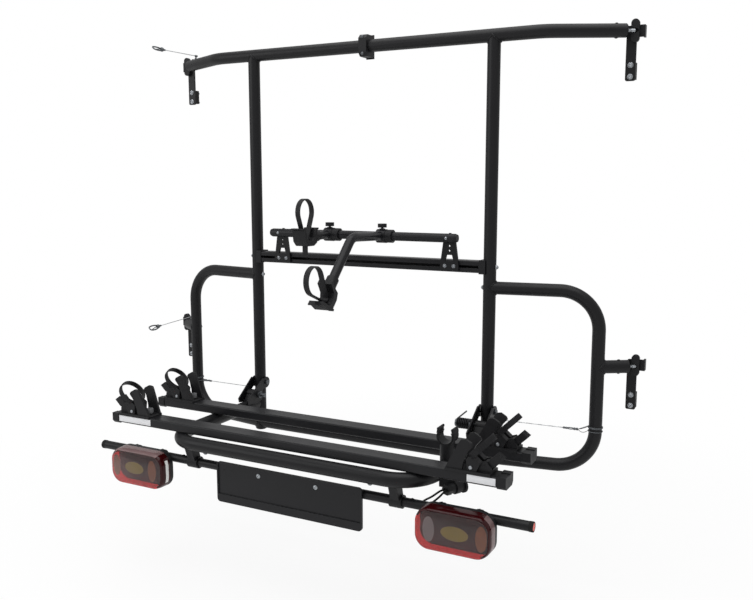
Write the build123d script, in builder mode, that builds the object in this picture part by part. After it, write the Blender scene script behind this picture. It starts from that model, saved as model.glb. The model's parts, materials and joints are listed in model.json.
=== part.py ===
"""Two-bike carrier for the rear doors of a van, in millimetres.

X runs across the van, +Y points forward into the van and +Z is up. The origin
lies on the centre plane, on the face of the doors, midway between the two
screws of the lower door brackets.
"""

import os
from math import atan2, cos, degrees, pi, radians, sin, tan

from build123d import *

# Places of the main pieces
UPRIGHT_Y = -154.0
RAIL_TOP_Z = -88.5
UPRIGHT_X = 463.0
BEAM_Z = RAIL_TOP_Z + 1251.0
CROSSBAR_Z = RAIL_TOP_Z + 514.5
LOOP_TOP_Z = RAIL_TOP_Z + 446.0
STUB_Z = RAIL_TOP_Z + 204.0
LOOP_BOTTOM_Z = RAIL_TOP_Z - 134.0
LOWER_BRACKET_Z = RAIL_TOP_Z + 207.0

# Frame tubes
TUBE_D = 42.4
TUBE_WALL = 2.0
TUBE_R = TUBE_D / 2
WELD_GAP = 0.3
SEAT_GAP = 0.3
HOLE_MORE = 0.6

# Top beam: two straight halves whose outer ends bend back towards the doors
BEAM_BEND_X = 627.0
BEAM_END_X = 849.6
BEAM_END_BACK = 106.1
BEAM_BEND_R = 150.0
BEAM_MIDDLE_GAP = 2.0
END_CAP_T = 4.0
END_DOME_T = 3.0
END_DOME_TAPER = 45.0

# Clamp that joins the beam halves
CLAMP_X = 4.0
CLAMP_WIDTH = 30.0
CLAMP_HEIGHT = 72.0
CLAMP_FRONT = 30.0
CLAMP_BACK = 32.0
CLAMP_PLATE_T = 4.0
CLAMP_PLATE_MORE = 4.0
CLAMP_BEVEL = 12.0
CLAMP_HOLE_D = 7.6
CLAMP_SCREW_PITCH = 55.0

# Crossbar: a hollow profile with a slot along its front
CROSSBAR_HEIGHT = 40.0
CROSSBAR_DEPTH = 46.0
CROSSBAR_WALL = 2.5
CROSSBAR_SLOT = 9.0
CROSSBAR_CORNER = 5.0
SADDLE_THICK = 9.0
SADDLE_HEIGHT = 46.0
SADDLE_DEPTH = 50.0
SADDLE_LAP = 8.0

# Bar for the frame holders, on two plates that stand on the crossbar
HOLDER_BAR_D = 30.0
HOLDER_BAR_WALL = 2.0
HOLDER_BAR_HALF = 358.0
HOLDER_CAP_LENGTH = 8.0
HOLDER_BAR_RISE = 94.0
PLATE_X = 331.0
PLATE_T = 8.0
PLATE_BASE_W = 66.0
PLATE_TOP_W = 38.0
PLATE_BELOW = 17.0
PLATE_WINDOW_W = 30.0
PLATE_WINDOW_H = 20.0
PLATE_SCREW_X = 16.0

# Side loops
LOOP_OUT_X = 813.7
LOOP_OUT_BACK = 53.3
LOOP_BEND_R = 125.0
STUB_END_X = 897.0
STUB_END_BACK = 106.1

# Door brackets
STRAP_W = 31.0
STRAP_T = 6.0
STRAP_FRONT_Y = -26.0
STRAP_BELOW = 149.0
STRAP_ABOVE = 17.0
STRAP_OUT_UPPER = 13.0
STRAP_OUT_LOWER = 10.0
STRAP_CORNER = 6.0
FLANGE_OUT = 40.0
FLANGE_H = 36.0
FLANGE_BACK = 24.0
BRACKET_SCREW_TOP = 101.0
BRACKET_SCREW_PITCH = 35.0
BRACKET_HOLE_MORE = 2.5
PAD_H = 41.0
BOSS_W = 25.0
BOSS_H = 70.0
BOSS_OUT = 12.0
BOSS_FRONT = 13.0
EYE_BOLT_D = 15.0
EYE_BOLT_LENGTH = 24.0
SCREW_SHANK_D = 8.0
SCREW_HEAD_D = 17.0
SCREW_HEAD_T = 5.0
SCREW_OUT_BACK = 18.0
HEAD_TAPER = 25.0

# Platform hinge
PIVOT_Y = UPRIGHT_Y - 51.0
PIVOT_Z = RAIL_TOP_Z - 11.0
PIVOT_D = 16.0
PIVOT_CLEAR = 0.3
CHEEK_T = 5.0
CHEEK_SIDE_GAP = 2.0
CHEEK_BOLT_Z = RAIL_TOP_Z + 26.0
CHEEK_BOLT_D = 12.0
CHEEK_HEAD_D = 20.0
CHEEK_HEAD_T = 6.0
CHEEK_EAR_R = 21.0
CHEEK_REACH_INNER = 120.0
CHEEK_REACH_OUTER = 104.0
CHEEK_BACK_OUTLINE = ((-TUBE_R, 46), (2, 34), (4, 20), (-25, 0), (-30, -34), (-62, -42))
PIN_HEAD_D = 26.0
PIN_INNER_LEFT = 407.0
PIN_INNER_RIGHT = 371.0

# Platform frame: one U of tube that lies under the two wheel rails
FRAME_TUBE_D = 45.0
FRAME_TUBE_WALL = 2.5
FRAME_LEG_X = UPRIGHT_X
FRAME_FRONT_Y = UPRIGHT_Y - 540.0
FRAME_BEND_R = 118.0
RAIL_W = 62.0
RAIL_H = 30.0
RAIL_WALL = 2.5
RAIL_CORNER = 5.0
RAIL_LEFT_X = -688.0
RAIL_RIGHT_X = 676.0
RAIL_CAP_LENGTH = 27.0
RAIL_CAP_LIP = 2.0
RAIL_CAP_NOTCH = 9.0
FRONT_RAIL_Y = UPRIGHT_Y - 491.7
REAR_RAIL_Y = UPRIGHT_Y - 262.7
FRAME_TUBE_Z = RAIL_TOP_Z - RAIL_H - SEAT_GAP - FRAME_TUBE_D / 2
LEG_BACK_Y = UPRIGHT_Y - 33.0
LUG_W = 36.0
LUG_EYE_R = 17.0
LUG_FOOT_REACH = 44.2
FRONT_BOLT_X = 300.0

# Cradle clip that grips the upright when the platform is folded up
CLIP_Y = UPRIGHT_Y - 350.0
CLIP_WALL = 6.0
CLIP_DEPTH = 42.0
CLIP_GAP = 0.4
CLIP_MOUTH_UP = 12.0
CLIP_TIP_H = 14.0
CLIP_TIP_LEAN = 10.0
CLIP_POST_D = 45.0

# Torsion spring on the inner end of the right hinge pin
SPRING_WIRE_D = 5.4
SPRING_OUTER_D = 37.0
SPRING_TURNS = 7
SPRING_PITCH = 6.2
SPRING_INNER_X = 376.0
SPRING_CORE_D = SPRING_OUTER_D - 2 * SPRING_WIRE_D - 2 * SEAT_GAP
SPRING_LEG = 90.0
SPRING_SHORT_LEG = 20.0

# Light bar and plate holder
LIGHT_BAR_D = 28.0
LIGHT_BAR_WALL = 2.0
LIGHT_BAR_HALF = 773.0
LIGHT_BAR_Y = UPRIGHT_Y - 506.8
LIGHT_BAR_Z = RAIL_TOP_Z - 126.0
REFLECTOR_T = 6.0
BAR_CLAMP_X = 372.0
BAR_CLAMP_W = 40.0
BAR_CLAMP_WALL = 6.0
BAR_CLAMP_WEB = 16.0
NUMBER_PLATE_W = 520.0
HOLDER_RIM = 5.0
PLATE_TOP_Z = RAIL_TOP_Z - 101.0
PLATE_H = 134.0
PLATE_HOLDER_T = 4.0
PLATE_RIM_T = 8.0
LIP_H = 26.0
PLATE_CORNER = 12.0
PLATE_SCREW_OUT = 105.0

# Lamps
LAMP_X = 568.0
LAMP_W = 226.0
LAMP_H = 124.0
LAMP_Z = RAIL_TOP_Z - 162.0
LAMP_CORNER = 44.0
HOUSING_BACK_Y = LIGHT_BAR_Y - LIGHT_BAR_D / 2 - 0.3
HOUSING_T = 15.0
LENS_T = 40.0
LENS_BEVEL = 14.0
LENS_WALL = 2.5
INSERT_T = 25.0
CELL_DEPTH = 4.0
LAMP_CLIP_W = 16.0
# Reflector cells of each lamp: place outward from its middle, width, height
LAMP_CELLS = ((-74.0, 38.0, 80.0), (0.0, 84.0, 42.0), (74.0, 38.0, 80.0))

# Wheel holders: outlines run outward from the base's inner end and up from the rail's top
HOLDER_INNER = {"left": 552.0, "right": 525.0}
BASE_LENGTH = 134.0
BASE_H = 6.0
BASE_LIP_T = 2.0
BASE_LIP_DEPTH = 3.0
BASE_BEVEL = 3.0
HOLDER_RUN_GAP = 0.3
CHEEK_WALL = 9.0
CHEEK_LEANS = {-1: 1.0, 1: 12.0}
CHEEK_FOOT_OUT = 30.0
CHEEK_OUTLINE = (
    (0.0, 0.0),
    (42.0, 80.0),
    (48.0, 88.0),
    (60.0, 90.0),
    (78.0, 80.0),
    (82.0, 72.0),
    (68.0, 55.0),
    (55.0, 25.0),
    (50.0, 0.0),
)
STRAP_BLOCK_OUTLINE = ((66.0, 5.0), (62.0, 38.0), (80.0, 50.0), (104.0, 30.0), (92.0, 5.0))
STRAP_BLOCK_IN = 8.0
STRAP_BLOCK_OUT = 30.0
BLOCK_BOLT = (76.0, 16.0)
BLOCK_BOLT_D = 9.0
BLOCK_BOLT_T = 2.5
BUCKLE_OUTLINE = ((93.0, 5.0), (106.0, 34.0), (118.0, 38.0), (133.0, 20.0), (133.0, 5.0))
BUCKLE_HALF_W = 22.0
CLAMP_KNOB_U = 22.0
CLAMP_KNOB_D = 20.0
CLAMP_KNOB_H = 20.0
CLAMP_KNOB_FOOT_D = 26.0
CLAMP_KNOB_FOOT_H = 4.0
HOOP_U = 100.0
HOOP_W = 71.0
HOOP_R = 45.0
HOOP_BAND = 18.0
HOOP_T = 3.0
LEVER_PIVOT_U = 116.0
LEVER_PIVOT_W = 26.0
LEVER_PIN_D = 6.0
LEVER_HUB_R = 8.0
LEVER_HALF_W = 16.0
LEVER_ROOM = 13.0
LEVER_RIBS = 4
LEVER_RIB_PITCH = 8.0
LEVER_GROOVE_W = 3.6
LEVER_OUTLINE = (
    (111.0, 33.0),
    (122.0, 36.0),
    (144.0, 58.0),
    (164.0, 44.0),
    (141.0, 22.0),
    (118.0, 18.0),
)
LEVER_GROOVE = (
    (140.0, 52.0),
    (146.0, 62.0),
    (168.0, 47.0),
    (143.0, 22.0),
    (137.0, 26.0),
    (154.0, 44.0),
)

# Frame holder arms
ARM_1_X = -118.5
ARM_2_X = 89.5
ARM_TUBE_D = 30.0
ARM_TUBE_WALL = 2.0
COLLAR_WALL = 5.0
COLLAR_W = 34.0
SLEEVE_T = 3.0
SLEEVE_RING_W = 24.0
SLEEVE_RING_MORE = 8.0
RUN_GAP = 0.3
KNOB_D = 31.0
KNOB_H = 13.0
KNOB_STEM_D = 9.0
KNOB_TOP = 42.0
KNOB_BOSS_D = 20.0
KNOB_GRIPS = 12
KNOB_GRIP_R = 2.2
ARM_1_REACH = 165.0
ARM_2_CORNER = (-216.0, 8.0)
ARM_2_BEND_R = 60.0
ARM_2_DROP_ANGLE = 45.0
ARM_2_DROP_LENGTH = 248.0
CLAW_W = 50.0
SOCKET_D = 39.0
SOCKET_START = -76.0
SOCKET_END = -34.0
TUBE_STOP = -40.0
CLAW_STRAP_W = 18.0
CLAW_STRAP_T = 3.0
STRAP_LOOP_R = 45.0
STRAP_CENTRE_Q = 83.0
STRAP_TAIL = 50.0
STRAP_SLOT_LENGTH = 70.0
STRAP_FOOT_R = 12.3
STRAP_FOOT_Q = 0.6
CLAW_OUTLINE = (
    (-48.0, 26.0),
    (-48.0, 30.0),
    (-33.0, 30.0),
    (-24.0, -2.0),
    (-12.0, -12.0),
    (12.0, -12.0),
    (24.0, -2.0),
    (33.0, 30.0),
    (48.0, 30.0),
    (48.0, 26.0),
    (40.0, 22.0),
    (34.0, -14.0),
    (18.0, -30.0),
    (-18.0, -30.0),
    (-38.0, -20.0),
    (-40.0, 22.0),
)

# Steel wires
WIRE_D = 3.0
FERRULE_LENGTH = 14.0
FERRULE_D = 7.0
HOOK_LENGTH = 52.0
HOOK_WIDTH = 20.0
HOOK_WIRE_D = 4.0
WIRE_1_START = (-800.0, UPRIGHT_Y + 79.0, RAIL_TOP_Z + 1284.0)
WIRE_1_END = (-800.0, UPRIGHT_Y - 95.0, RAIL_TOP_Z + 1282.0)
WIRE_2_START = (-870.0, UPRIGHT_Y + 84.0, RAIL_TOP_Z + 237.0)
WIRE_2_END = (-870.0, UPRIGHT_Y - 95.0, RAIL_TOP_Z + 228.0)
WIRE_3_START = (503.0, UPRIGHT_Y - 26.0, RAIL_TOP_Z + 10.0)
WIRE_3_END = (720.0, UPRIGHT_Y + 12.0, RAIL_TOP_Z + 2.0)
WIRE_4_START = (-503.0, UPRIGHT_Y - 26.0, RAIL_TOP_Z + 8.0)
WIRE_4_END = (-720.0, UPRIGHT_Y + 22.0, RAIL_TOP_Z - 6.0)
WIRE_ENDS = (
    (WIRE_1_START, WIRE_1_END, (-800.0, UPRIGHT_Y + 82.5, BEAM_Z + TUBE_R + SEAT_GAP), None),
    (WIRE_2_START, WIRE_2_END, (-870.0, UPRIGHT_Y + 88.0, STUB_Z + TUBE_R + SEAT_GAP), None),
    (WIRE_3_START, WIRE_3_END, (491.5, UPRIGHT_Y - 28.0, RAIL_TOP_Z + 10.0), LOOP_OUT_X),
    (WIRE_4_START, WIRE_4_END, (-491.5, UPRIGHT_Y - 28.0, RAIL_TOP_Z + 8.0), -LOOP_OUT_X),
)

# Connector plug and its leads
PLUG_BACK = (495.0, UPRIGHT_Y - 440.0, RAIL_TOP_Z - 95.0)
PLUG_DIRECTION = (0.48, 0.877, 0.0)
GLAND_D = 34.0
GLAND_LENGTH = 16.0
PLUG_D = 30.0
PLUG_LENGTH = 46.0
PLUG_FLANGE_D = 42.0
PLUG_FLANGE_T = 7.0
PLUG_RING_W = 16.0
LEAD_D = 6.0
LEAD_APART = 13.0
LEAD_HOLES_X = (440.0, 468.0)
LEAD_LEFT_CORNERS = (
    (462.0, UPRIGHT_Y - 461.0, RAIL_TOP_Z - 114.0),
    (440.0, UPRIGHT_Y - 469.0, RAIL_TOP_Z - 126.0),
)
LEAD_RIGHT_CORNERS = (
    (484.0, UPRIGHT_Y - 463.0, RAIL_TOP_Z - 112.0),
    (468.0, UPRIGHT_Y - 470.0, RAIL_TOP_Z - 126.0),
)
LEADS = (
    (-1, "left", LEAD_HOLES_X[0], LEAD_LEFT_CORNERS),
    (1, "right", LEAD_HOLES_X[1], LEAD_RIGHT_CORNERS),
)

SIDES = ((-1, "left"), (1, "right"))

# Places that follow from the values above
BAR_R = HOLDER_BAR_D / 2
PLATE_BACK_Y = UPRIGHT_Y - CROSSBAR_DEPTH / 2
HOLDER_BAR_Y = PLATE_BACK_Y - PLATE_T - BAR_R - WELD_GAP
HOLDER_BAR_Z = CROSSBAR_Z + HOLDER_BAR_RISE
CLIP_Z = PIVOT_Z + UPRIGHT_Y - PIVOT_Y
CHEEK_INNER = TUBE_R + CHEEK_SIDE_GAP
CHEEK_OUTER = CHEEK_INNER + CHEEK_T
UPRIGHT_FOOT_Z = LOOP_BOTTOM_Z - TUBE_R - 3.0
BEAM_TURN = degrees(atan2(BEAM_END_BACK, BEAM_END_X - BEAM_BEND_X))
STUB_TURN = degrees(atan2(STUB_END_BACK - LOOP_OUT_BACK, STUB_END_X - LOOP_OUT_X))
RAILS = (("front", FRONT_RAIL_Y), ("rear", REAR_RAIL_Y))


def place_plane(origin, across, normal):
    """A drawing plane at origin with its first axis and its normal given."""
    return Plane(origin=origin, x_dir=across, z_dir=normal)


def ring_sketch(outer_d, inner_d):
    """The round section of a tube, drawn in the sketch that is open."""
    Circle(outer_d / 2)
    if inner_d > 0:
        Circle(inner_d / 2, mode=Mode.SUBTRACT)


def tube_run(points, radius, outer_d, inner_d=0.0, mode=Mode.ADD):
    """Sweep a round section along straight runs with bends, in the part that is open."""
    with BuildLine() as route:
        FilletPolyline(*points, radius=radius)
    with BuildSketch(Plane(origin=route.line @ 0, z_dir=route.line % 0)) as section:
        ring_sketch(outer_d, inner_d)
    sweep(section.sketch, path=route.line, mode=mode)


def bar(start, end, outer_d, inner_d=0.0, mode=Mode.ADD):
    """Add or cut a straight round bar or tube from start to end."""
    axis = Vector(*end) - Vector(*start)
    with BuildSketch(Plane(origin=start, z_dir=axis)) as section:
        ring_sketch(outer_d, inner_d)
    extrude(section.sketch, amount=axis.length, mode=mode)


def block(x_range, y_range, z_range, mode=Mode.ADD):
    """Add or cut a box given by its three ranges."""
    middle = ((x_range[0] + x_range[1]) / 2, (y_range[0] + y_range[1]) / 2, z_range[0])
    with BuildSketch(place_plane(middle, (1, 0, 0), (0, 0, 1))) as foot:
        Rectangle(abs(x_range[1] - x_range[0]), abs(y_range[1] - y_range[0]))
    extrude(foot.sketch, amount=z_range[1] - z_range[0], mode=mode)


def prism(plane, outline, thickness, both=False, mode=Mode.ADD):
    """Add or cut a flat piece with a straight-sided outline on a plane."""
    with BuildSketch(plane) as side_view:
        Polygon(*outline, align=None)
    extrude(side_view.sketch, amount=thickness, both=both, mode=mode)


def rail_plate(outline, side, inner_x, y_range, mode=Mode.ADD):
    """Add or cut a plate along a rail; its outline runs outward from inner_x and up from the rail's top."""
    plane = place_plane((side * inner_x, y_range[0], RAIL_TOP_Z), (side, 0, 0), (0, -side, 0))
    prism(plane, outline, -side * (y_range[1] - y_range[0]), mode=mode)


def screw(place, axis, shank, shank_d=SCREW_SHANK_D, head_d=SCREW_HEAD_D, head_t=SCREW_HEAD_T):
    """Add a screw whose head stands on place and whose shank runs along axis."""
    along = Vector(*axis).normalized()
    seat = Vector(*place) - along * SEAT_GAP
    bar(tuple(seat), tuple(seat + along * shank), shank_d)
    with BuildSketch(Plane(origin=seat, z_dir=-along)) as head:
        Circle(head_d / 2)
    extrude(head.sketch, amount=head_t, taper=HEAD_TAPER)


def close_end(place, outward, diameter):
    """Close a tube's end with a rounded cap that stands inside its length."""
    with BuildSketch(Plane(origin=place, z_dir=outward)) as end_face:
        Circle(diameter / 2)
    extrude(end_face.sketch, amount=-END_CAP_T)
    extrude(end_face.sketch, amount=END_DOME_T, taper=END_DOME_TAPER)


def save(piece, name):
    """Label a finished piece and write it to its own file."""
    piece.part.label = name
    export_step(piece.part, f"parts/{name}.step")


os.makedirs("parts", exist_ok=True)

# Top beam, in two halves with closed outer ends
for side, name in SIDES:
    beam_end = (side * BEAM_END_X, UPRIGHT_Y + BEAM_END_BACK, BEAM_Z)
    beam_out = (side * cos(radians(BEAM_TURN)), sin(radians(BEAM_TURN)), 0)
    beam_route = [
        (CLAMP_X + side * BEAM_MIDDLE_GAP / 2, UPRIGHT_Y, BEAM_Z),
        (side * BEAM_BEND_X, UPRIGHT_Y, BEAM_Z),
        beam_end,
    ]
    with BuildPart() as top_beam:
        tube_run(beam_route, BEAM_BEND_R, TUBE_D, TUBE_D - 2 * TUBE_WALL)
        close_end(beam_end, beam_out, TUBE_D)
    save(top_beam, f"top_beam_{name}")

# Clamp round the middle of the beam: a bored block and a plate behind it
with BuildPart() as centre_clamp:
    clamp_side = place_plane((CLAMP_X - CLAMP_WIDTH / 2, UPRIGHT_Y, BEAM_Z), (0, 1, 0), (1, 0, 0))
    block_back = CLAMP_BACK - CLAMP_PLATE_T
    clamp_outline = [
        (-CLAMP_FRONT, -CLAMP_HEIGHT / 2 + CLAMP_BEVEL),
        (-CLAMP_FRONT + CLAMP_BEVEL, -CLAMP_HEIGHT / 2),
        (block_back, -CLAMP_HEIGHT / 2),
        (block_back, CLAMP_HEIGHT / 2),
        (-CLAMP_FRONT + CLAMP_BEVEL, CLAMP_HEIGHT / 2),
        (-CLAMP_FRONT, CLAMP_HEIGHT / 2 - CLAMP_BEVEL),
    ]
    with BuildSketch(clamp_side):
        Polygon(*clamp_outline, align=None)
        Circle(TUBE_R + WELD_GAP, mode=Mode.SUBTRACT)
    extrude(amount=CLAMP_WIDTH)
    plate_y = UPRIGHT_Y + block_back + WELD_GAP
    block(
        (CLAMP_X - CLAMP_WIDTH / 2, CLAMP_X + CLAMP_WIDTH / 2),
        (plate_y, plate_y + CLAMP_PLATE_T),
        (BEAM_Z - CLAMP_HEIGHT / 2 - CLAMP_PLATE_MORE, BEAM_Z + CLAMP_HEIGHT / 2 + CLAMP_PLATE_MORE),
    )
    for end in (-1, 1):
        screw_z = BEAM_Z + end * CLAMP_SCREW_PITCH / 2
        hole_from = (CLAMP_X, UPRIGHT_Y - TUBE_D, screw_z)
        hole_to = (CLAMP_X, UPRIGHT_Y + TUBE_D, screw_z)
        bar(hole_from, hole_to, CLAMP_HOLE_D, mode=Mode.SUBTRACT)
save(centre_clamp, "centre_clamp")

# Uprights, coped to the beam at the top and closed at the foot
for side, name in SIDES:
    with BuildPart() as upright:
        foot = (side * UPRIGHT_X, UPRIGHT_Y, UPRIGHT_FOOT_Z)
        bar(foot, (side * UPRIGHT_X, UPRIGHT_Y, BEAM_Z), TUBE_D, TUBE_D - 2 * TUBE_WALL)
        close_end(foot, (0, 0, -1), TUBE_D)
        beam_from = (side * (UPRIGHT_X - TUBE_D), UPRIGHT_Y, BEAM_Z)
        beam_to = (side * (UPRIGHT_X + TUBE_D), UPRIGHT_Y, BEAM_Z)
        bar(beam_from, beam_to, TUBE_D + 2 * WELD_GAP, mode=Mode.SUBTRACT)
        bolt_places = (
            (CHEEK_BOLT_Z, CHEEK_BOLT_D),
            (LOOP_TOP_Z, SCREW_SHANK_D),
            (CROSSBAR_Z, SCREW_SHANK_D),
        )
        for bolt_z, bolt_d in bolt_places:
            hole_from = (side * (UPRIGHT_X - TUBE_D), UPRIGHT_Y, bolt_z)
            hole_to = (side * (UPRIGHT_X + TUBE_D), UPRIGHT_Y, bolt_z)
            bar(hole_from, hole_to, bolt_d + HOLE_MORE, mode=Mode.SUBTRACT)
    save(upright, f"upright_{name}")

# Crossbar and the saddles that carry its ends
saddle_in_x = UPRIGHT_X - TUBE_R - SADDLE_THICK
with BuildPart() as crossbar:
    crossbar_end = place_plane((-saddle_in_x + WELD_GAP, UPRIGHT_Y, CROSSBAR_Z), (0, 1, 0), (1, 0, 0))
    with BuildSketch(crossbar_end):
        RectangleRounded(CROSSBAR_DEPTH, CROSSBAR_HEIGHT, CROSSBAR_CORNER)
        Rectangle(CROSSBAR_DEPTH - 2 * CROSSBAR_WALL, CROSSBAR_HEIGHT - 2 * CROSSBAR_WALL, mode=Mode.SUBTRACT)
        with Locations((-CROSSBAR_DEPTH / 2, 0)):
            Rectangle(4 * CROSSBAR_WALL, CROSSBAR_SLOT, mode=Mode.SUBTRACT)
    extrude(amount=2 * (saddle_in_x - WELD_GAP))
save(crossbar, "crossbar")

with BuildPart() as crossbar_saddles:
    for side, name in SIDES:
        block(
            sorted((side * saddle_in_x, side * (UPRIGHT_X - SADDLE_LAP))),
            (UPRIGHT_Y - SADDLE_DEPTH / 2, UPRIGHT_Y + SADDLE_DEPTH / 2),
            (CROSSBAR_Z - SADDLE_HEIGHT / 2, CROSSBAR_Z + SADDLE_HEIGHT / 2),
        )
        cope_from = (side * UPRIGHT_X, UPRIGHT_Y, CROSSBAR_Z - SADDLE_HEIGHT)
        cope_to = (side * UPRIGHT_X, UPRIGHT_Y, CROSSBAR_Z + SADDLE_HEIGHT)
        bar(cope_from, cope_to, TUBE_D + 2 * WELD_GAP, mode=Mode.SUBTRACT)
        hole_from = (side * (saddle_in_x - 1), UPRIGHT_Y, CROSSBAR_Z)
        hole_to = (side * UPRIGHT_X, UPRIGHT_Y, CROSSBAR_Z)
        bar(hole_from, hole_to, SCREW_SHANK_D + HOLE_MORE, mode=Mode.SUBTRACT)
save(crossbar_saddles, "crossbar_saddles")

# Bar for the frame holders, its end caps and the two plates that carry it
with BuildPart() as holder_bar:
    bar_left = (-HOLDER_BAR_HALF, HOLDER_BAR_Y, HOLDER_BAR_Z)
    bar_right = (HOLDER_BAR_HALF, HOLDER_BAR_Y, HOLDER_BAR_Z)
    bar(bar_left, bar_right, HOLDER_BAR_D, HOLDER_BAR_D - 2 * HOLDER_BAR_WALL)
save(holder_bar, "holder_bar")

with BuildPart() as holder_bar_caps:
    for side, name in SIDES:
        cap_foot = (side * (HOLDER_BAR_HALF + SEAT_GAP), HOLDER_BAR_Y, HOLDER_BAR_Z)
        plug_end = (side * (HOLDER_BAR_HALF - 12), HOLDER_BAR_Y, HOLDER_BAR_Z)
        bar(plug_end, cap_foot, HOLDER_BAR_D - 2 * HOLDER_BAR_WALL - 2 * SEAT_GAP)
        with BuildSketch(Plane(origin=cap_foot, z_dir=(side, 0, 0))):
            Circle(BAR_R)
        extrude(amount=HOLDER_CAP_LENGTH, taper=20)
save(holder_bar_caps, "holder_bar_caps")

with BuildPart() as holder_brackets:
    for side, name in SIDES:
        bracket_foot_z = CROSSBAR_Z - PLATE_BELOW
        bracket_seat = (side * PLATE_X, PLATE_BACK_Y - SEAT_GAP, bracket_foot_z)
        bracket_front = place_plane(bracket_seat, (1, 0, 0), (0, -1, 0))
        bracket_h = HOLDER_BAR_Z + BAR_R * 0.6 - bracket_foot_z
        base_h = 2 * PLATE_BELOW
        with BuildSketch(bracket_front):
            Polygon(
                (-PLATE_BASE_W / 2, 0),
                (PLATE_BASE_W / 2, 0),
                (PLATE_BASE_W / 2, base_h * 0.55),
                (PLATE_TOP_W / 2, bracket_h),
                (-PLATE_TOP_W / 2, bracket_h),
                (-PLATE_BASE_W / 2, base_h * 0.55),
                align=None,
            )
            Polygon(
                (-PLATE_WINDOW_W / 2, base_h),
                (PLATE_WINDOW_W / 2, base_h),
                (PLATE_WINDOW_W * 0.32, base_h + PLATE_WINDOW_H),
                (-PLATE_WINDOW_W * 0.32, base_h + PLATE_WINDOW_H),
                align=None,
                mode=Mode.SUBTRACT,
            )
            with Locations((0, base_h + PLATE_WINDOW_H + 14), (0, base_h + PLATE_WINDOW_H + 30)):
                Circle(3.5, mode=Mode.SUBTRACT)
            with Locations((-PLATE_SCREW_X, PLATE_BELOW), (PLATE_SCREW_X, PLATE_BELOW)):
                Circle((SCREW_SHANK_D + HOLE_MORE) / 2, mode=Mode.SUBTRACT)
        extrude(amount=PLATE_T)
save(holder_brackets, "holder_brackets")

# Side loops, coped to the uprights
for side, name in SIDES:
    out_y = UPRIGHT_Y + LOOP_OUT_BACK
    loop_route = [
        (side * UPRIGHT_X, UPRIGHT_Y, LOOP_TOP_Z),
        (side * LOOP_OUT_X, out_y, LOOP_TOP_Z),
        (side * LOOP_OUT_X, out_y, LOOP_BOTTOM_Z),
        (side * UPRIGHT_X, UPRIGHT_Y, LOOP_BOTTOM_Z),
    ]
    with BuildPart() as side_loop:
        tube_run(loop_route, LOOP_BEND_R, TUBE_D, TUBE_D - 2 * TUBE_WALL)
        cope_from = (side * UPRIGHT_X, UPRIGHT_Y, UPRIGHT_FOOT_Z - TUBE_D)
        cope_to = (side * UPRIGHT_X, UPRIGHT_Y, BEAM_Z)
        bar(cope_from, cope_to, TUBE_D + 2 * WELD_GAP, mode=Mode.SUBTRACT)
    save(side_loop, f"side_loop_{name}")

# Bottom tube between the uprights, and the stubs outside the loops
with BuildPart() as bottom_tube:
    tube_left = (-UPRIGHT_X, UPRIGHT_Y, LOOP_BOTTOM_Z)
    bar(tube_left, (UPRIGHT_X, UPRIGHT_Y, LOOP_BOTTOM_Z), TUBE_D, TUBE_D - 2 * TUBE_WALL)
    for side, name in SIDES:
        cope_from = (side * UPRIGHT_X, UPRIGHT_Y, UPRIGHT_FOOT_Z - TUBE_D)
        cope_to = (side * UPRIGHT_X, UPRIGHT_Y, BEAM_Z)
        bar(cope_from, cope_to, TUBE_D + 2 * WELD_GAP, mode=Mode.SUBTRACT)
save(bottom_tube, "bottom_tube")

with BuildPart() as stub_tubes:
    for side, name in SIDES:
        stub_from = (side * LOOP_OUT_X, UPRIGHT_Y + LOOP_OUT_BACK, STUB_Z)
        stub_end = (side * STUB_END_X, UPRIGHT_Y + STUB_END_BACK, STUB_Z)
        stub_out = (side * cos(radians(STUB_TURN)), sin(radians(STUB_TURN)), 0)
        bar(stub_from, stub_end, TUBE_D, TUBE_D - 2 * TUBE_WALL)
        close_end(stub_end, stub_out, TUBE_D)
        cope_from = (stub_from[0], stub_from[1], STUB_Z - TUBE_D)
        cope_to = (stub_from[0], stub_from[1], STUB_Z + TUBE_D)
        bar(cope_from, cope_to, TUBE_D + 2 * WELD_GAP, mode=Mode.SUBTRACT)
save(stub_tubes, "stub_tubes")

# The four tube ends that carry door brackets: each tip, its direction, and the bracket's x and z
DOOR_ENDS = []
for side, name in SIDES:
    for end_x, end_back, turn, tube_z, end_z, strap_out in (
        (BEAM_END_X, BEAM_END_BACK, BEAM_TURN, BEAM_Z, BEAM_Z, STRAP_OUT_UPPER),
        (STUB_END_X, STUB_END_BACK, STUB_TURN, STUB_Z, LOWER_BRACKET_Z, STRAP_OUT_LOWER),
    ):
        tip = Vector(side * end_x, UPRIGHT_Y + end_back, tube_z)
        tip_out = Vector(side * cos(radians(turn)), sin(radians(turn)), 0)
        DOOR_ENDS.append((side, tip, tip_out, side * (end_x + strap_out), end_z))

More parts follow.
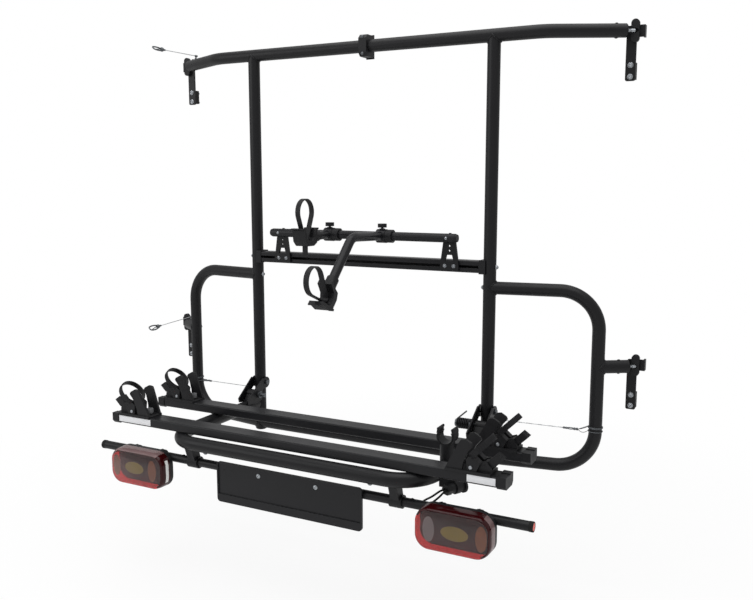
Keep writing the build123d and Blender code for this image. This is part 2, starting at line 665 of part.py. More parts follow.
# Door brackets: a strap down the door edge with a flange that hooks round it
bracket_hole_d = SCREW_SHANK_D + BRACKET_HOLE_MORE
with BuildPart() as door_brackets:
    for side, tip, tip_out, strap_x, end_z in DOOR_ENDS:
        strap_front = place_plane((strap_x, STRAP_FRONT_Y, end_z), (1, 0, 0), (0, 1, 0))
        with BuildSketch(strap_front):
            with Locations((0, (STRAP_BELOW - STRAP_ABOVE) / 2)):
                RectangleRounded(STRAP_W, STRAP_BELOW + STRAP_ABOVE, STRAP_CORNER)
            with Locations((side * (FLANGE_OUT / 2 + 4), 0)):
                Rectangle(FLANGE_OUT - 8, FLANGE_H)
            for below in (BRACKET_SCREW_TOP, BRACKET_SCREW_TOP + BRACKET_SCREW_PITCH):
                with Locations((0, below)):
                    Circle(bracket_hole_d / 2, mode=Mode.SUBTRACT)
        extrude(amount=STRAP_T)
        hook_x = sorted((strap_x + side * (FLANGE_OUT - STRAP_T), strap_x + side * FLANGE_OUT))
        hook_z = (end_z - FLANGE_H / 2, end_z + FLANGE_H / 2)
        block(hook_x, (STRAP_FRONT_Y, STRAP_FRONT_Y + FLANGE_BACK), hook_z)
save(door_brackets, "door_brackets")

# Bosses: upright blocks in front of the straps, grooved for the eye bolts
with BuildPart() as clamp_bosses:
    for side, tip, tip_out, strap_x, end_z in DOOR_ENDS:
        boss_seat = (strap_x + side * BOSS_OUT, STRAP_FRONT_Y - SEAT_GAP, end_z)
        with BuildSketch(place_plane(boss_seat, (1, 0, 0), (0, -1, 0))):
            SlotOverall(BOSS_H, BOSS_W, rotation=90)
        extrude(amount=BOSS_FRONT)
        groove_from = tuple(tip - tip_out * EYE_BOLT_LENGTH)
        groove_to = tuple(tip + tip_out * 2 * EYE_BOLT_LENGTH)
        bar(groove_from, groove_to, EYE_BOLT_D + 2 * SEAT_GAP, mode=Mode.SUBTRACT)
save(clamp_bosses, "clamp_bosses")

with BuildPart() as eye_bolts:
    for side, tip, tip_out, strap_x, end_z in DOOR_ENDS:
        bolt_from = tip + tip_out * (END_DOME_T + SEAT_GAP)
        bar(tuple(bolt_from), tuple(bolt_from + tip_out * EYE_BOLT_LENGTH), EYE_BOLT_D)
save(eye_bolts, "eye_bolts")

# Spacer pads between the straps and the doors
with BuildPart() as spacer_pads:
    for side, tip, tip_out, strap_x, end_z in DOOR_ENDS:
        pad_middle = end_z - BRACKET_SCREW_TOP - BRACKET_SCREW_PITCH / 2
        block(
            (strap_x - STRAP_W / 2, strap_x + STRAP_W / 2),
            (STRAP_FRONT_Y + STRAP_T + SEAT_GAP, 0),
            (pad_middle - PAD_H / 2 - 5, pad_middle + PAD_H / 2 + 5),
        )
        for below in (BRACKET_SCREW_TOP, BRACKET_SCREW_TOP + BRACKET_SCREW_PITCH):
            hole_z = end_z - below
            bar((strap_x, -40, hole_z), (strap_x, 10, hole_z), bracket_hole_d, mode=Mode.SUBTRACT)
save(spacer_pads, "spacer_pads")

# Fasteners of the fixed frame
with BuildPart() as frame_screws:
    for side, tip, tip_out, strap_x, end_z in DOOR_ENDS:
        for below in (BRACKET_SCREW_TOP, BRACKET_SCREW_TOP + BRACKET_SCREW_PITCH):
            screw((strap_x, STRAP_FRONT_Y, end_z - below), (0, 1, 0), SCREW_OUT_BACK - STRAP_FRONT_Y)
    for end in (-1, 1):
        screw_z = BEAM_Z + end * CLAMP_SCREW_PITCH / 2
        screw((CLAMP_X, UPRIGHT_Y - CLAMP_FRONT, screw_z), (0, 1, 0), CLAMP_FRONT + CLAMP_BACK + 4, 7, 12, 5)
    for side, name in SIDES:
        inner_face = (side * (UPRIGHT_X - TUBE_R), UPRIGHT_Y, LOOP_TOP_Z)
        screw(inner_face, (side, 0, 0), TUBE_D + 20, head_t=7)
        outer_face = (side * (UPRIGHT_X + TUBE_R), UPRIGHT_Y, CROSSBAR_Z)
        screw(outer_face, (-side, 0, 0), TUBE_D + SADDLE_THICK + 12, head_t=7)
        for screw_side in (-1, 1):
            plate_front = PLATE_BACK_Y - SEAT_GAP - PLATE_T
            screw_place = (side * PLATE_X + screw_side * PLATE_SCREW_X, plate_front, CROSSBAR_Z)
            screw(screw_place, (0, 1, 0), PLATE_T + 12, head_d=12, head_t=4)
save(frame_screws, "frame_screws")

# Hinge cheeks, two to each upright, and the pivot pins
with BuildPart() as hinge_cheeks:
    for side, name in SIDES:
        for cheek, reach in ((-1, CHEEK_REACH_INNER), (1, CHEEK_REACH_OUTER)):
            cheek_x = side * (UPRIGHT_X + cheek * CHEEK_INNER)
            cheek_outline = (*CHEEK_BACK_OUTLINE, (-reach, -36), (-reach - 4, -20))
            with BuildSketch(place_plane((cheek_x, UPRIGHT_Y, RAIL_TOP_Z), (0, 1, 0), (1, 0, 0))):
                Polygon(*cheek_outline, align=None)
                with Locations((0, CHEEK_BOLT_Z - RAIL_TOP_Z)):
                    Circle(CHEEK_EAR_R)
                with Locations((PIVOT_Y - UPRIGHT_Y, PIVOT_Z - RAIL_TOP_Z)):
                    Circle((PIVOT_D + HOLE_MORE) / 2, mode=Mode.SUBTRACT)
                with Locations((0, CHEEK_BOLT_Z - RAIL_TOP_Z)):
                    Circle((CHEEK_BOLT_D + HOLE_MORE) / 2, mode=Mode.SUBTRACT)
            extrude(amount=side * cheek * CHEEK_T)
save(hinge_cheeks, "hinge_cheeks")

with BuildPart() as hinge_pins:
    for side, name in SIDES:
        pin_out = side * (UPRIGHT_X + CHEEK_OUTER)
        pin_in = side * (UPRIGHT_X - CHEEK_OUTER)
        inner_end = PIN_INNER_RIGHT if side > 0 else PIN_INNER_LEFT
        bar((side * inner_end, PIVOT_Y, PIVOT_Z), (pin_out + side * 6, PIVOT_Y, PIVOT_Z), PIVOT_D)
        bar((pin_out + side * SEAT_GAP, PIVOT_Y, PIVOT_Z), (pin_out + side * 6, PIVOT_Y, PIVOT_Z), PIN_HEAD_D)
        bar((pin_in - side * SEAT_GAP, PIVOT_Y, PIVOT_Z), (pin_in - side * 8, PIVOT_Y, PIVOT_Z), PIN_HEAD_D)
        if side > 0:
            bar((inner_end, PIVOT_Y, PIVOT_Z), (pin_in - 8, PIVOT_Y, PIVOT_Z), SPRING_CORE_D)
        for bolt_side in (-1, 1):
            face_x = side * UPRIGHT_X + bolt_side * CHEEK_OUTER
            head_seat = (face_x + bolt_side * SEAT_GAP, UPRIGHT_Y, CHEEK_BOLT_Z)
            with BuildSketch(Plane(origin=head_seat, z_dir=(bolt_side, 0, 0))):
                RegularPolygon(CHEEK_HEAD_D / 2, 6)
            extrude(amount=CHEEK_HEAD_T)
        bolt_from = (side * UPRIGHT_X - CHEEK_OUTER - 2, UPRIGHT_Y, CHEEK_BOLT_Z)
        bar(bolt_from, (side * UPRIGHT_X + CHEEK_OUTER + 2, UPRIGHT_Y, CHEEK_BOLT_Z), CHEEK_BOLT_D)
save(hinge_pins, "hinge_pins")

# Platform frame: a U of tube with a lug on each leg that takes the hinge pin
frame_route = [
    (-FRAME_LEG_X, LEG_BACK_Y, FRAME_TUBE_Z),
    (-FRAME_LEG_X, FRAME_FRONT_Y, FRAME_TUBE_Z),
    (FRAME_LEG_X, FRAME_FRONT_Y, FRAME_TUBE_Z),
    (FRAME_LEG_X, LEG_BACK_Y, FRAME_TUBE_Z),
]
with BuildPart() as platform_frame:
    tube_run(frame_route, FRAME_BEND_R, FRAME_TUBE_D, FRAME_TUBE_D - 2 * FRAME_TUBE_WALL)
    for side, name in SIDES:
        leg_end = (side * FRAME_LEG_X, LEG_BACK_Y, FRAME_TUBE_Z)
        close_end(leg_end, (0, 1, 0), FRAME_TUBE_D)
        lug_side = place_plane((side * FRAME_LEG_X, PIVOT_Y, PIVOT_Z), (0, 1, 0), (1, 0, 0))
        lug_foot = FRAME_TUBE_Z - PIVOT_Z
        lug_outline = [(-LUG_FOOT_REACH, lug_foot), (LUG_EYE_R, lug_foot), (LUG_EYE_R, 0), (-LUG_EYE_R, 0)]
        with BuildSketch(lug_side):
            Circle(LUG_EYE_R)
            Polygon(*lug_outline, align=None)
            Circle(PIVOT_D / 2 + PIVOT_CLEAR, mode=Mode.SUBTRACT)
        extrude(amount=LUG_W / 2, both=True)
        bore_from = (side * FRAME_LEG_X, LEG_BACK_Y - END_CAP_T, FRAME_TUBE_Z)
        bore_to = (side * FRAME_LEG_X, LEG_BACK_Y - 80, FRAME_TUBE_Z)
        bar(bore_from, bore_to, FRAME_TUBE_D - 2 * FRAME_TUBE_WALL, mode=Mode.SUBTRACT)
save(platform_frame, "platform_frame")

# Wheel rails: hollow profiles with rounded edges
rail_middle_z = RAIL_TOP_Z - RAIL_H / 2
rail_inner_w = RAIL_W - 2 * RAIL_WALL
rail_inner_h = RAIL_H - 2 * RAIL_WALL
for rail_name, rail_y in RAILS:
    with BuildPart() as rail:
        with BuildSketch(place_plane((RAIL_LEFT_X, rail_y, rail_middle_z), (0, 1, 0), (1, 0, 0))):
            RectangleRounded(RAIL_W, RAIL_H, RAIL_CORNER)
            RectangleRounded(rail_inner_w, rail_inner_h, RAIL_CORNER - RAIL_WALL, mode=Mode.SUBTRACT)
        extrude(amount=RAIL_RIGHT_X - RAIL_LEFT_X)
    save(rail, f"{rail_name}_rail")

with BuildPart() as rail_caps:
    cap_half = RAIL_W / 2 + RAIL_CAP_LIP
    cap_top = RAIL_H / 2 + RAIL_CAP_LIP
    cap_foot = -cap_top - RAIL_CAP_LIP
    bevel = RAIL_CAP_LENGTH / 3
    cap_outline = (
        (-cap_half, cap_foot + bevel),
        (-cap_half + bevel, cap_foot),
        (cap_half - bevel, cap_foot),
        (cap_half, cap_foot + bevel),
        (cap_half, cap_top),
        (RAIL_CAP_NOTCH, cap_top),
        (RAIL_CAP_NOTCH, cap_top - RAIL_CAP_LIP),
        (-RAIL_CAP_NOTCH, cap_top - RAIL_CAP_LIP),
        (-RAIL_CAP_NOTCH, cap_top),
        (-cap_half, cap_top),
    )
    for rail_name, rail_y in RAILS:
        for side, end_x in ((-1, RAIL_LEFT_X), (1, RAIL_RIGHT_X)):
            cap_face = (end_x + side * SEAT_GAP, rail_y, rail_middle_z)
            cap_section = [(y * side, z * side) for y, z in cap_outline]
            prism(place_plane(cap_face, (0, 1, 0), (side, 0, 0)), cap_section, RAIL_CAP_LENGTH)
            with BuildSketch(place_plane(cap_face, (0, 1, 0), (-side, 0, 0))):
                Rectangle(rail_inner_w - 2, rail_inner_h - 2)
            extrude(amount=RAIL_CAP_LENGTH)
save(rail_caps, "rail_caps")

# Cradle clip on a post that stands on the right leg of the platform
with BuildPart() as cradle_clip:
    clip_bore_r = TUBE_R + CLIP_GAP
    bar((FRAME_LEG_X, CLIP_Y, FRAME_TUBE_Z), (FRAME_LEG_X, CLIP_Y, CLIP_Z - CLIP_WALL), CLIP_POST_D)
    with BuildSketch(place_plane((FRAME_LEG_X, CLIP_Y, CLIP_Z), (1, 0, 0), (0, -1, 0))):
        Circle(clip_bore_r + CLIP_WALL)
        with Locations((0, CLIP_MOUTH_UP + TUBE_R)):
            Rectangle(TUBE_D * 2, TUBE_D, mode=Mode.SUBTRACT)
        tip_middle_x = clip_bore_r + CLIP_WALL / 2 - 1
        for side, name in SIDES:
            with Locations((side * tip_middle_x, CLIP_MOUTH_UP + CLIP_TIP_H / 2 - 3)):
                Rectangle(CLIP_WALL, CLIP_TIP_H, rotation=side * CLIP_TIP_LEAN)
            with Locations((side * (tip_middle_x - 1), CLIP_MOUTH_UP + CLIP_TIP_H - 3)):
                Circle(CLIP_WALL / 2 + 1)
    extrude(amount=CLIP_DEPTH / 2, both=True)
    clip_front = (FRAME_LEG_X, CLIP_Y - CLIP_POST_D, CLIP_Z)
    bar(clip_front, (FRAME_LEG_X, CLIP_Y + CLIP_POST_D, CLIP_Z), 2 * clip_bore_r, mode=Mode.SUBTRACT)
    leg_front = (FRAME_LEG_X, CLIP_Y - CLIP_POST_D, FRAME_TUBE_Z)
    leg_back = (FRAME_LEG_X, CLIP_Y + CLIP_POST_D, FRAME_TUBE_Z)
    bar(leg_front, leg_back, FRAME_TUBE_D + 2 * WELD_GAP, mode=Mode.SUBTRACT)
save(cradle_clip, "cradle_clip")

# Torsion spring: quarter-turn arcs along a formula, one unbroken wire with a straight leg at each end
coil_r = (SPRING_OUTER_D - SPRING_WIRE_D) / 2
quarter_rise = SPRING_PITCH / 4
quarter_slope = quarter_rise / (2 * coil_r)


def coil_point(quarter):
    """Centre of the wire after this many quarter turns from the top of the coil."""
    angle = quarter * pi / 2
    across = SPRING_INNER_X + SPRING_WIRE_D / 2 + quarter * quarter_rise
    return Vector(across, PIVOT_Y - coil_r * sin(angle), PIVOT_Z + coil_r * cos(angle))


def coil_heading(quarter):
    """Direction of the wire there, shared by the arcs on both sides of the point."""
    angle = quarter * pi / 2
    return Vector(quarter_slope, -cos(angle), -sin(angle)).normalized()


with BuildPart() as torsion_spring:
    quarters = 4 * SPRING_TURNS
    with BuildLine():
        Line(coil_point(0) - coil_heading(0) * SPRING_LEG, coil_point(0))
        for quarter in range(quarters):
            TangentArc(coil_point(quarter), coil_point(quarter + 1), tangent=coil_heading(quarter))
        Line(coil_point(quarters), coil_point(quarters) + coil_heading(quarters) * SPRING_SHORT_LEG)
    wire_start = coil_point(0) - coil_heading(0) * SPRING_LEG
    with BuildSketch(Plane(origin=wire_start, z_dir=coil_heading(0))):
        Circle(SPRING_WIRE_D / 2)
    sweep()
save(torsion_spring, "torsion_spring")
print("torsion spring: least gap between turns", round(SPRING_PITCH - SPRING_WIRE_D, 2))

# Light bar with its end reflectors
with BuildPart() as light_bar:
    bar_left = (-LIGHT_BAR_HALF, LIGHT_BAR_Y, LIGHT_BAR_Z)
    bar_right = (LIGHT_BAR_HALF, LIGHT_BAR_Y, LIGHT_BAR_Z)
    bar(bar_left, bar_right, LIGHT_BAR_D, LIGHT_BAR_D - 2 * LIGHT_BAR_WALL)
    for lead_x in LEAD_HOLES_X:
        hole_from = (lead_x, LIGHT_BAR_Y, LIGHT_BAR_Z)
        hole_to = (lead_x, LIGHT_BAR_Y + LIGHT_BAR_D, LIGHT_BAR_Z)
        bar(hole_from, hole_to, LEAD_D + HOLE_MORE, mode=Mode.SUBTRACT)
save(light_bar, "light_bar")

with BuildPart() as bar_end_reflectors:
    for side, name in SIDES:
        cap_face = (side * (LIGHT_BAR_HALF + SEAT_GAP), LIGHT_BAR_Y, LIGHT_BAR_Z)
        cap_end = (side * (LIGHT_BAR_HALF + SEAT_GAP + REFLECTOR_T), LIGHT_BAR_Y, LIGHT_BAR_Z)
        plug_end = (side * (LIGHT_BAR_HALF - 10), LIGHT_BAR_Y, LIGHT_BAR_Z)
        bar(plug_end, cap_end, LIGHT_BAR_D - 2 * LIGHT_BAR_WALL - 2 * SEAT_GAP)
        bar(cap_face, cap_end, LIGHT_BAR_D)
save(bar_end_reflectors, "bar_end_reflectors")

# Clamps that hang the light bar from the platform tube
with BuildPart() as light_bar_clamps:
    for side, name in SIDES:
        clamp_from = side * BAR_CLAMP_X - BAR_CLAMP_W / 2
        ring_start = (clamp_from, LIGHT_BAR_Y, LIGHT_BAR_Z)
        ring_end = (clamp_from + BAR_CLAMP_W, LIGHT_BAR_Y, LIGHT_BAR_Z)
        bar(ring_start, ring_end, LIGHT_BAR_D + 2 * BAR_CLAMP_WALL)
        web_plane = place_plane((clamp_from + 6, LIGHT_BAR_Y, LIGHT_BAR_Z), (0, 1, 0), (1, 0, 0))
        web_top = FRAME_TUBE_Z - LIGHT_BAR_Z
        web_lean = FRAME_FRONT_Y - LIGHT_BAR_Y
        web_outline = [
            (-BAR_CLAMP_WEB, 0),
            (BAR_CLAMP_WEB, 0),
            (web_lean + 30, web_top - 8),
            (web_lean - 4, web_top - 12),
        ]
        prism(web_plane, web_outline, BAR_CLAMP_W - 12)
    tube_run(frame_route, FRAME_BEND_R, FRAME_TUBE_D + 2 * WELD_GAP, mode=Mode.SUBTRACT)
    for side, name in SIDES:
        bore_from = (side * BAR_CLAMP_X - BAR_CLAMP_W, LIGHT_BAR_Y, LIGHT_BAR_Z)
        bore_to = (side * BAR_CLAMP_X + BAR_CLAMP_W, LIGHT_BAR_Y, LIGHT_BAR_Z)
        bar(bore_from, bore_to, LIGHT_BAR_D + 2 * WELD_GAP, mode=Mode.SUBTRACT)
save(light_bar_clamps, "light_bar_clamps")

# Plate holder: a tray with a low rim and a lip under the number plate
with BuildPart() as plate_holder:
    tray_w = NUMBER_PLATE_W + 2 * HOLDER_RIM + 2
    tray_middle_z = PLATE_TOP_Z - PLATE_H / 2
    tray_back = LIGHT_BAR_Y - LIGHT_BAR_D / 2 - SEAT_GAP
    with BuildSketch(place_plane((0, tray_back, tray_middle_z), (1, 0, 0), (0, -1, 0))):
        RectangleRounded(tray_w, PLATE_H, PLATE_CORNER)
    extrude(amount=PLATE_RIM_T)
    recess_w = NUMBER_PLATE_W + 2
    recess_h = PLATE_H - LIP_H - HOLDER_RIM
    recess_middle_z = PLATE_TOP_Z - HOLDER_RIM - recess_h / 2
    recess_front = (0, tray_back - PLATE_RIM_T, recess_middle_z)
    with BuildSketch(place_plane(recess_front, (1, 0, 0), (0, 1, 0))):
        Rectangle(recess_w, recess_h)
    extrude(amount=PLATE_RIM_T - PLATE_HOLDER_T, mode=Mode.SUBTRACT)
    for side, name in SIDES:
        screw_x = side * PLATE_SCREW_OUT
        hole_to = (screw_x, LIGHT_BAR_Y + LIGHT_BAR_D, LIGHT_BAR_Z)
        bar((screw_x, tray_back - 20, LIGHT_BAR_Z), hole_to, 6 + HOLE_MORE, mode=Mode.SUBTRACT)
save(plate_holder, "plate_holder")

# Fasteners of the platform: rail bolts, plate screws and lamp screws
with BuildPart() as platform_screws:
    for side, name in SIDES:
        tray_face = tray_back - PLATE_HOLDER_T
        screw((side * PLATE_SCREW_OUT, tray_face, LIGHT_BAR_Z), (0, 1, 0), PLATE_HOLDER_T + 0.1, 6, 14, 3)
        for bolt_x, bolt_y in ((FRAME_LEG_X, REAR_RAIL_Y), (FRONT_BOLT_X, FRAME_FRONT_Y)):
            bolt_place = (side * bolt_x, bolt_y, FRAME_TUBE_Z - FRAME_TUBE_D / 2)
            screw(bolt_place, (0, 0, 1), 0.1, 8, 16, 5)
save(platform_screws, "platform_screws")

# Lamps: housing with clips round the light bar, hollow lens, reflector block inside
with BuildPart() as lamp_housings:
    for side, name in SIDES:
        back_plane = place_plane((side * LAMP_X, HOUSING_BACK_Y, LAMP_Z), (1, 0, 0), (0, -1, 0))
        with BuildSketch(back_plane):
            RectangleRounded(LAMP_W, LAMP_H, LAMP_CORNER)
        extrude(amount=HOUSING_T)
        for clip_side in (-1, 1):
            clip_x = side * LAMP_X + clip_side * LAMP_W / 4
            clip_start = (clip_x - LAMP_CLIP_W / 2, LIGHT_BAR_Y, LIGHT_BAR_Z)
            bar(clip_start, (clip_x + LAMP_CLIP_W / 2, LIGHT_BAR_Y, LIGHT_BAR_Z), LIGHT_BAR_D + 12)
            block(
                (clip_x - LAMP_CLIP_W / 2, clip_x + LAMP_CLIP_W / 2),
                (HOUSING_BACK_Y, LIGHT_BAR_Y),
                (LIGHT_BAR_Z - LIGHT_BAR_D / 2 - 6, LIGHT_BAR_Z + LIGHT_BAR_D / 2 + 6),
            )
        bore_from = (side * LAMP_X - LAMP_W, LIGHT_BAR_Y, LIGHT_BAR_Z)
        bore_to = (side * LAMP_X + LAMP_W, LIGHT_BAR_Y, LIGHT_BAR_Z)
        bar(bore_from, bore_to, LIGHT_BAR_D + 2 * SEAT_GAP, mode=Mode.SUBTRACT)
save(lamp_housings, "lamp_housings")

lens_back_y = HOUSING_BACK_Y - HOUSING_T - SEAT_GAP
with BuildPart() as lamp_lenses:
    for side, name in SIDES:
        lens_plane = place_plane((side * LAMP_X, lens_back_y, LAMP_Z), (1, 0, 0), (0, -1, 0))
        with BuildSketch(lens_plane):
            RectangleRounded(LAMP_W, LAMP_H, LAMP_CORNER)
        extrude(amount=LENS_T - LENS_BEVEL)
        with BuildSketch(lens_plane.offset(LENS_T - LENS_BEVEL)):
            RectangleRounded(LAMP_W, LAMP_H, LAMP_CORNER)
        front_w = LAMP_W - 2 * LENS_BEVEL
        front_h = LAMP_H - 2 * LENS_BEVEL
        with BuildSketch(lens_plane.offset(LENS_T)):
            RectangleRounded(front_w, front_h, LAMP_CORNER - LENS_BEVEL)
        loft()
        inner_w = LAMP_W - 2 * LENS_WALL
        inner_h = LAMP_H - 2 * LENS_WALL
        with BuildSketch(lens_plane):
            RectangleRounded(inner_w, inner_h, LAMP_CORNER - LENS_WALL)
        extrude(amount=LENS_T - LENS_BEVEL, mode=Mode.SUBTRACT)
save(lamp_lenses, "lamp_lenses")

with BuildPart() as lamp_inserts:
    for side, name in SIDES:
        insert_plane = place_plane((side * LAMP_X, lens_back_y, LAMP_Z), (1, 0, 0), (0, -1, 0))
        with BuildSketch(insert_plane):
            RectangleRounded(inner_w - 4, inner_h - 4, LAMP_CORNER - LENS_WALL - 2)
        extrude(amount=INSERT_T)
        for cell, cell_w, cell_h in LAMP_CELLS:
            with BuildSketch(insert_plane.offset(INSERT_T)):
                with Locations((side * cell, 0)):
                    Ellipse(cell_w / 2, cell_h / 2)
            extrude(amount=-CELL_DEPTH, mode=Mode.SUBTRACT)
save(lamp_inserts, "lamp_inserts")

# Connector plug parked beside the right leg, and the bracket that holds it
plug_back = Vector(*PLUG_BACK)
plug_axis = Vector(*PLUG_DIRECTION).normalized()
with BuildPart() as plug:
    with BuildSketch(Plane(origin=plug_back, z_dir=plug_axis)):
        RegularPolygon(GLAND_D / 2, 6)
    extrude(amount=GLAND_LENGTH)
    body_from = plug_back + plug_axis * GLAND_LENGTH
    bar(tuple(body_from), tuple(body_from + plug_axis * PLUG_LENGTH), PLUG_D)
    flange_from = body_from + plug_axis * PLUG_LENGTH
    bar(tuple(flange_from), tuple(flange_from + plug_axis * PLUG_FLANGE_T), PLUG_FLANGE_D)
    for lead_side in (-1, 1):
        hole_at = plug_back + Vector(lead_side * LEAD_APART / 2, 0, 0)
        hole_from = tuple(hole_at - plug_axis * 4)
        bar(hole_from, tuple(hole_at + plug_axis * 8), LEAD_D + HOLE_MORE, mode=Mode.SUBTRACT)
save(plug, "plug")

with BuildPart() as plug_holder:
    ring_from = body_from + plug_axis * (PLUG_LENGTH - PLUG_RING_W) / 2
    ring_to = ring_from + plug_axis * PLUG_RING_W
    bar(tuple(ring_from), tuple(ring_to), PLUG_D + 8)
    web_y = (ring_from.Y + ring_to.Y) / 2
    block((FRAME_LEG_X, ring_from.X + 4), (web_y - 7, web_y + 7), (ring_from.Z - 4, FRAME_TUBE_Z))
    leg_from = (FRAME_LEG_X, web_y - 40, FRAME_TUBE_Z)
    leg_to = (FRAME_LEG_X, web_y + 40, FRAME_TUBE_Z)
    bar(leg_from, leg_to, FRAME_TUBE_D + 2 * WELD_GAP, mode=Mode.SUBTRACT)
    bore_to = tuple(flange_from + plug_axis * 20)
    bar(tuple(plug_back), bore_to, PLUG_D + 2 * SEAT_GAP, mode=Mode.SUBTRACT)
save(plug_holder, "plug_holder")


def corner_radii(points):
    """Bend radii that fill nearly all of the straight runs beside each corner of a route."""
    radii = []
    for before, corner, after in zip(points, points[1:], points[2:]):
        run_in = Vector(*corner) - Vector(*before)
        run_out = Vector(*after) - Vector(*corner)
        turn = radians(run_in.get_angle(run_out))
        radii.append(0.45 * min(run_in.length, run_out.length) / tan(turn / 2))
    return radii


# Leads from the plug into the light bar: each is straight runs joined by tangent arcs
for lead_side, name, hole_x, lead_corners in LEADS:
    gland_hole = plug_back + Vector(lead_side * LEAD_APART / 2, 0, 0)
    lead_from = gland_hole + plug_axis * 6
    lead_end = (hole_x, LIGHT_BAR_Y + LIGHT_BAR_D / 2 - LIGHT_BAR_WALL - 3, LIGHT_BAR_Z)
    lead_points = [tuple(lead_from), tuple(gland_hole - plug_axis * 10), *lead_corners, lead_end]
    radii = corner_radii(lead_points)
    with BuildPart() as lead:
        with BuildLine():
            corners = [Vector(*p) for p in lead_points]
            last = corners[0]
            for n, radius in enumerate(radii):
                corner = corners[n + 1]
                way_in = (corner - corners[n]).normalized()
                way_out = (corners[n + 2] - corner).normalized()
                turn = radians(way_in.get_angle(way_out))
                cut = radius * tan(turn / 2)
                Line(last, corner - way_in * cut)
                TangentArc(corner - way_in * cut, corner + way_out * cut, tangent=way_in)
                last = corner + way_out * cut
            Line(last, corners[-1])
        with BuildSketch(Plane(origin=corners[0], z_dir=-plug_axis)):
            Circle(LEAD_D / 2)
        sweep()
    save(lead, f"lamp_lead_{name}")
    print(f"lamp_lead_{name}: radii", [round(r, 1) for r in radii])

# Wheel holders: a base astride the rail, two cheeks, strap blocks, a strap hoop and a ratchet lever
rail_half = RAIL_W / 2 + HOLDER_RUN_GAP
base_half = rail_half + BASE_LIP_T
base_outline = [
    (0, -BASE_LIP_DEPTH),
    (BASE_LENGTH, -BASE_LIP_DEPTH),
    (BASE_LENGTH, BASE_H),
    (BASE_BEVEL, BASE_H),
    (0, BASE_H - BASE_BEVEL),
]
rail_space = [
    (-1, -2 * BASE_LIP_DEPTH),
    (BASE_LENGTH + 1, -2 * BASE_LIP_DEPTH),
    (BASE_LENGTH + 1, HOLDER_RUN_GAP),
    (-1, HOLDER_RUN_GAP),
]
lever_slot = [
    (LEVER_PIVOT_U - LEVER_ROOM, LEVER_PIVOT_W - LEVER_ROOM),
    (2 * BASE_LENGTH, LEVER_PIVOT_W - LEVER_ROOM),
    (2 * BASE_LENGTH, BASE_LENGTH),
    (LEVER_PIVOT_U - LEVER_ROOM, BASE_LENGTH),
]
slot_half = LEVER_HALF_W + HOLDER_RUN_GAP
lever_outline = [(u - LEVER_PIVOT_U, w - LEVER_PIVOT_W) for u, w in LEVER_OUTLINE]
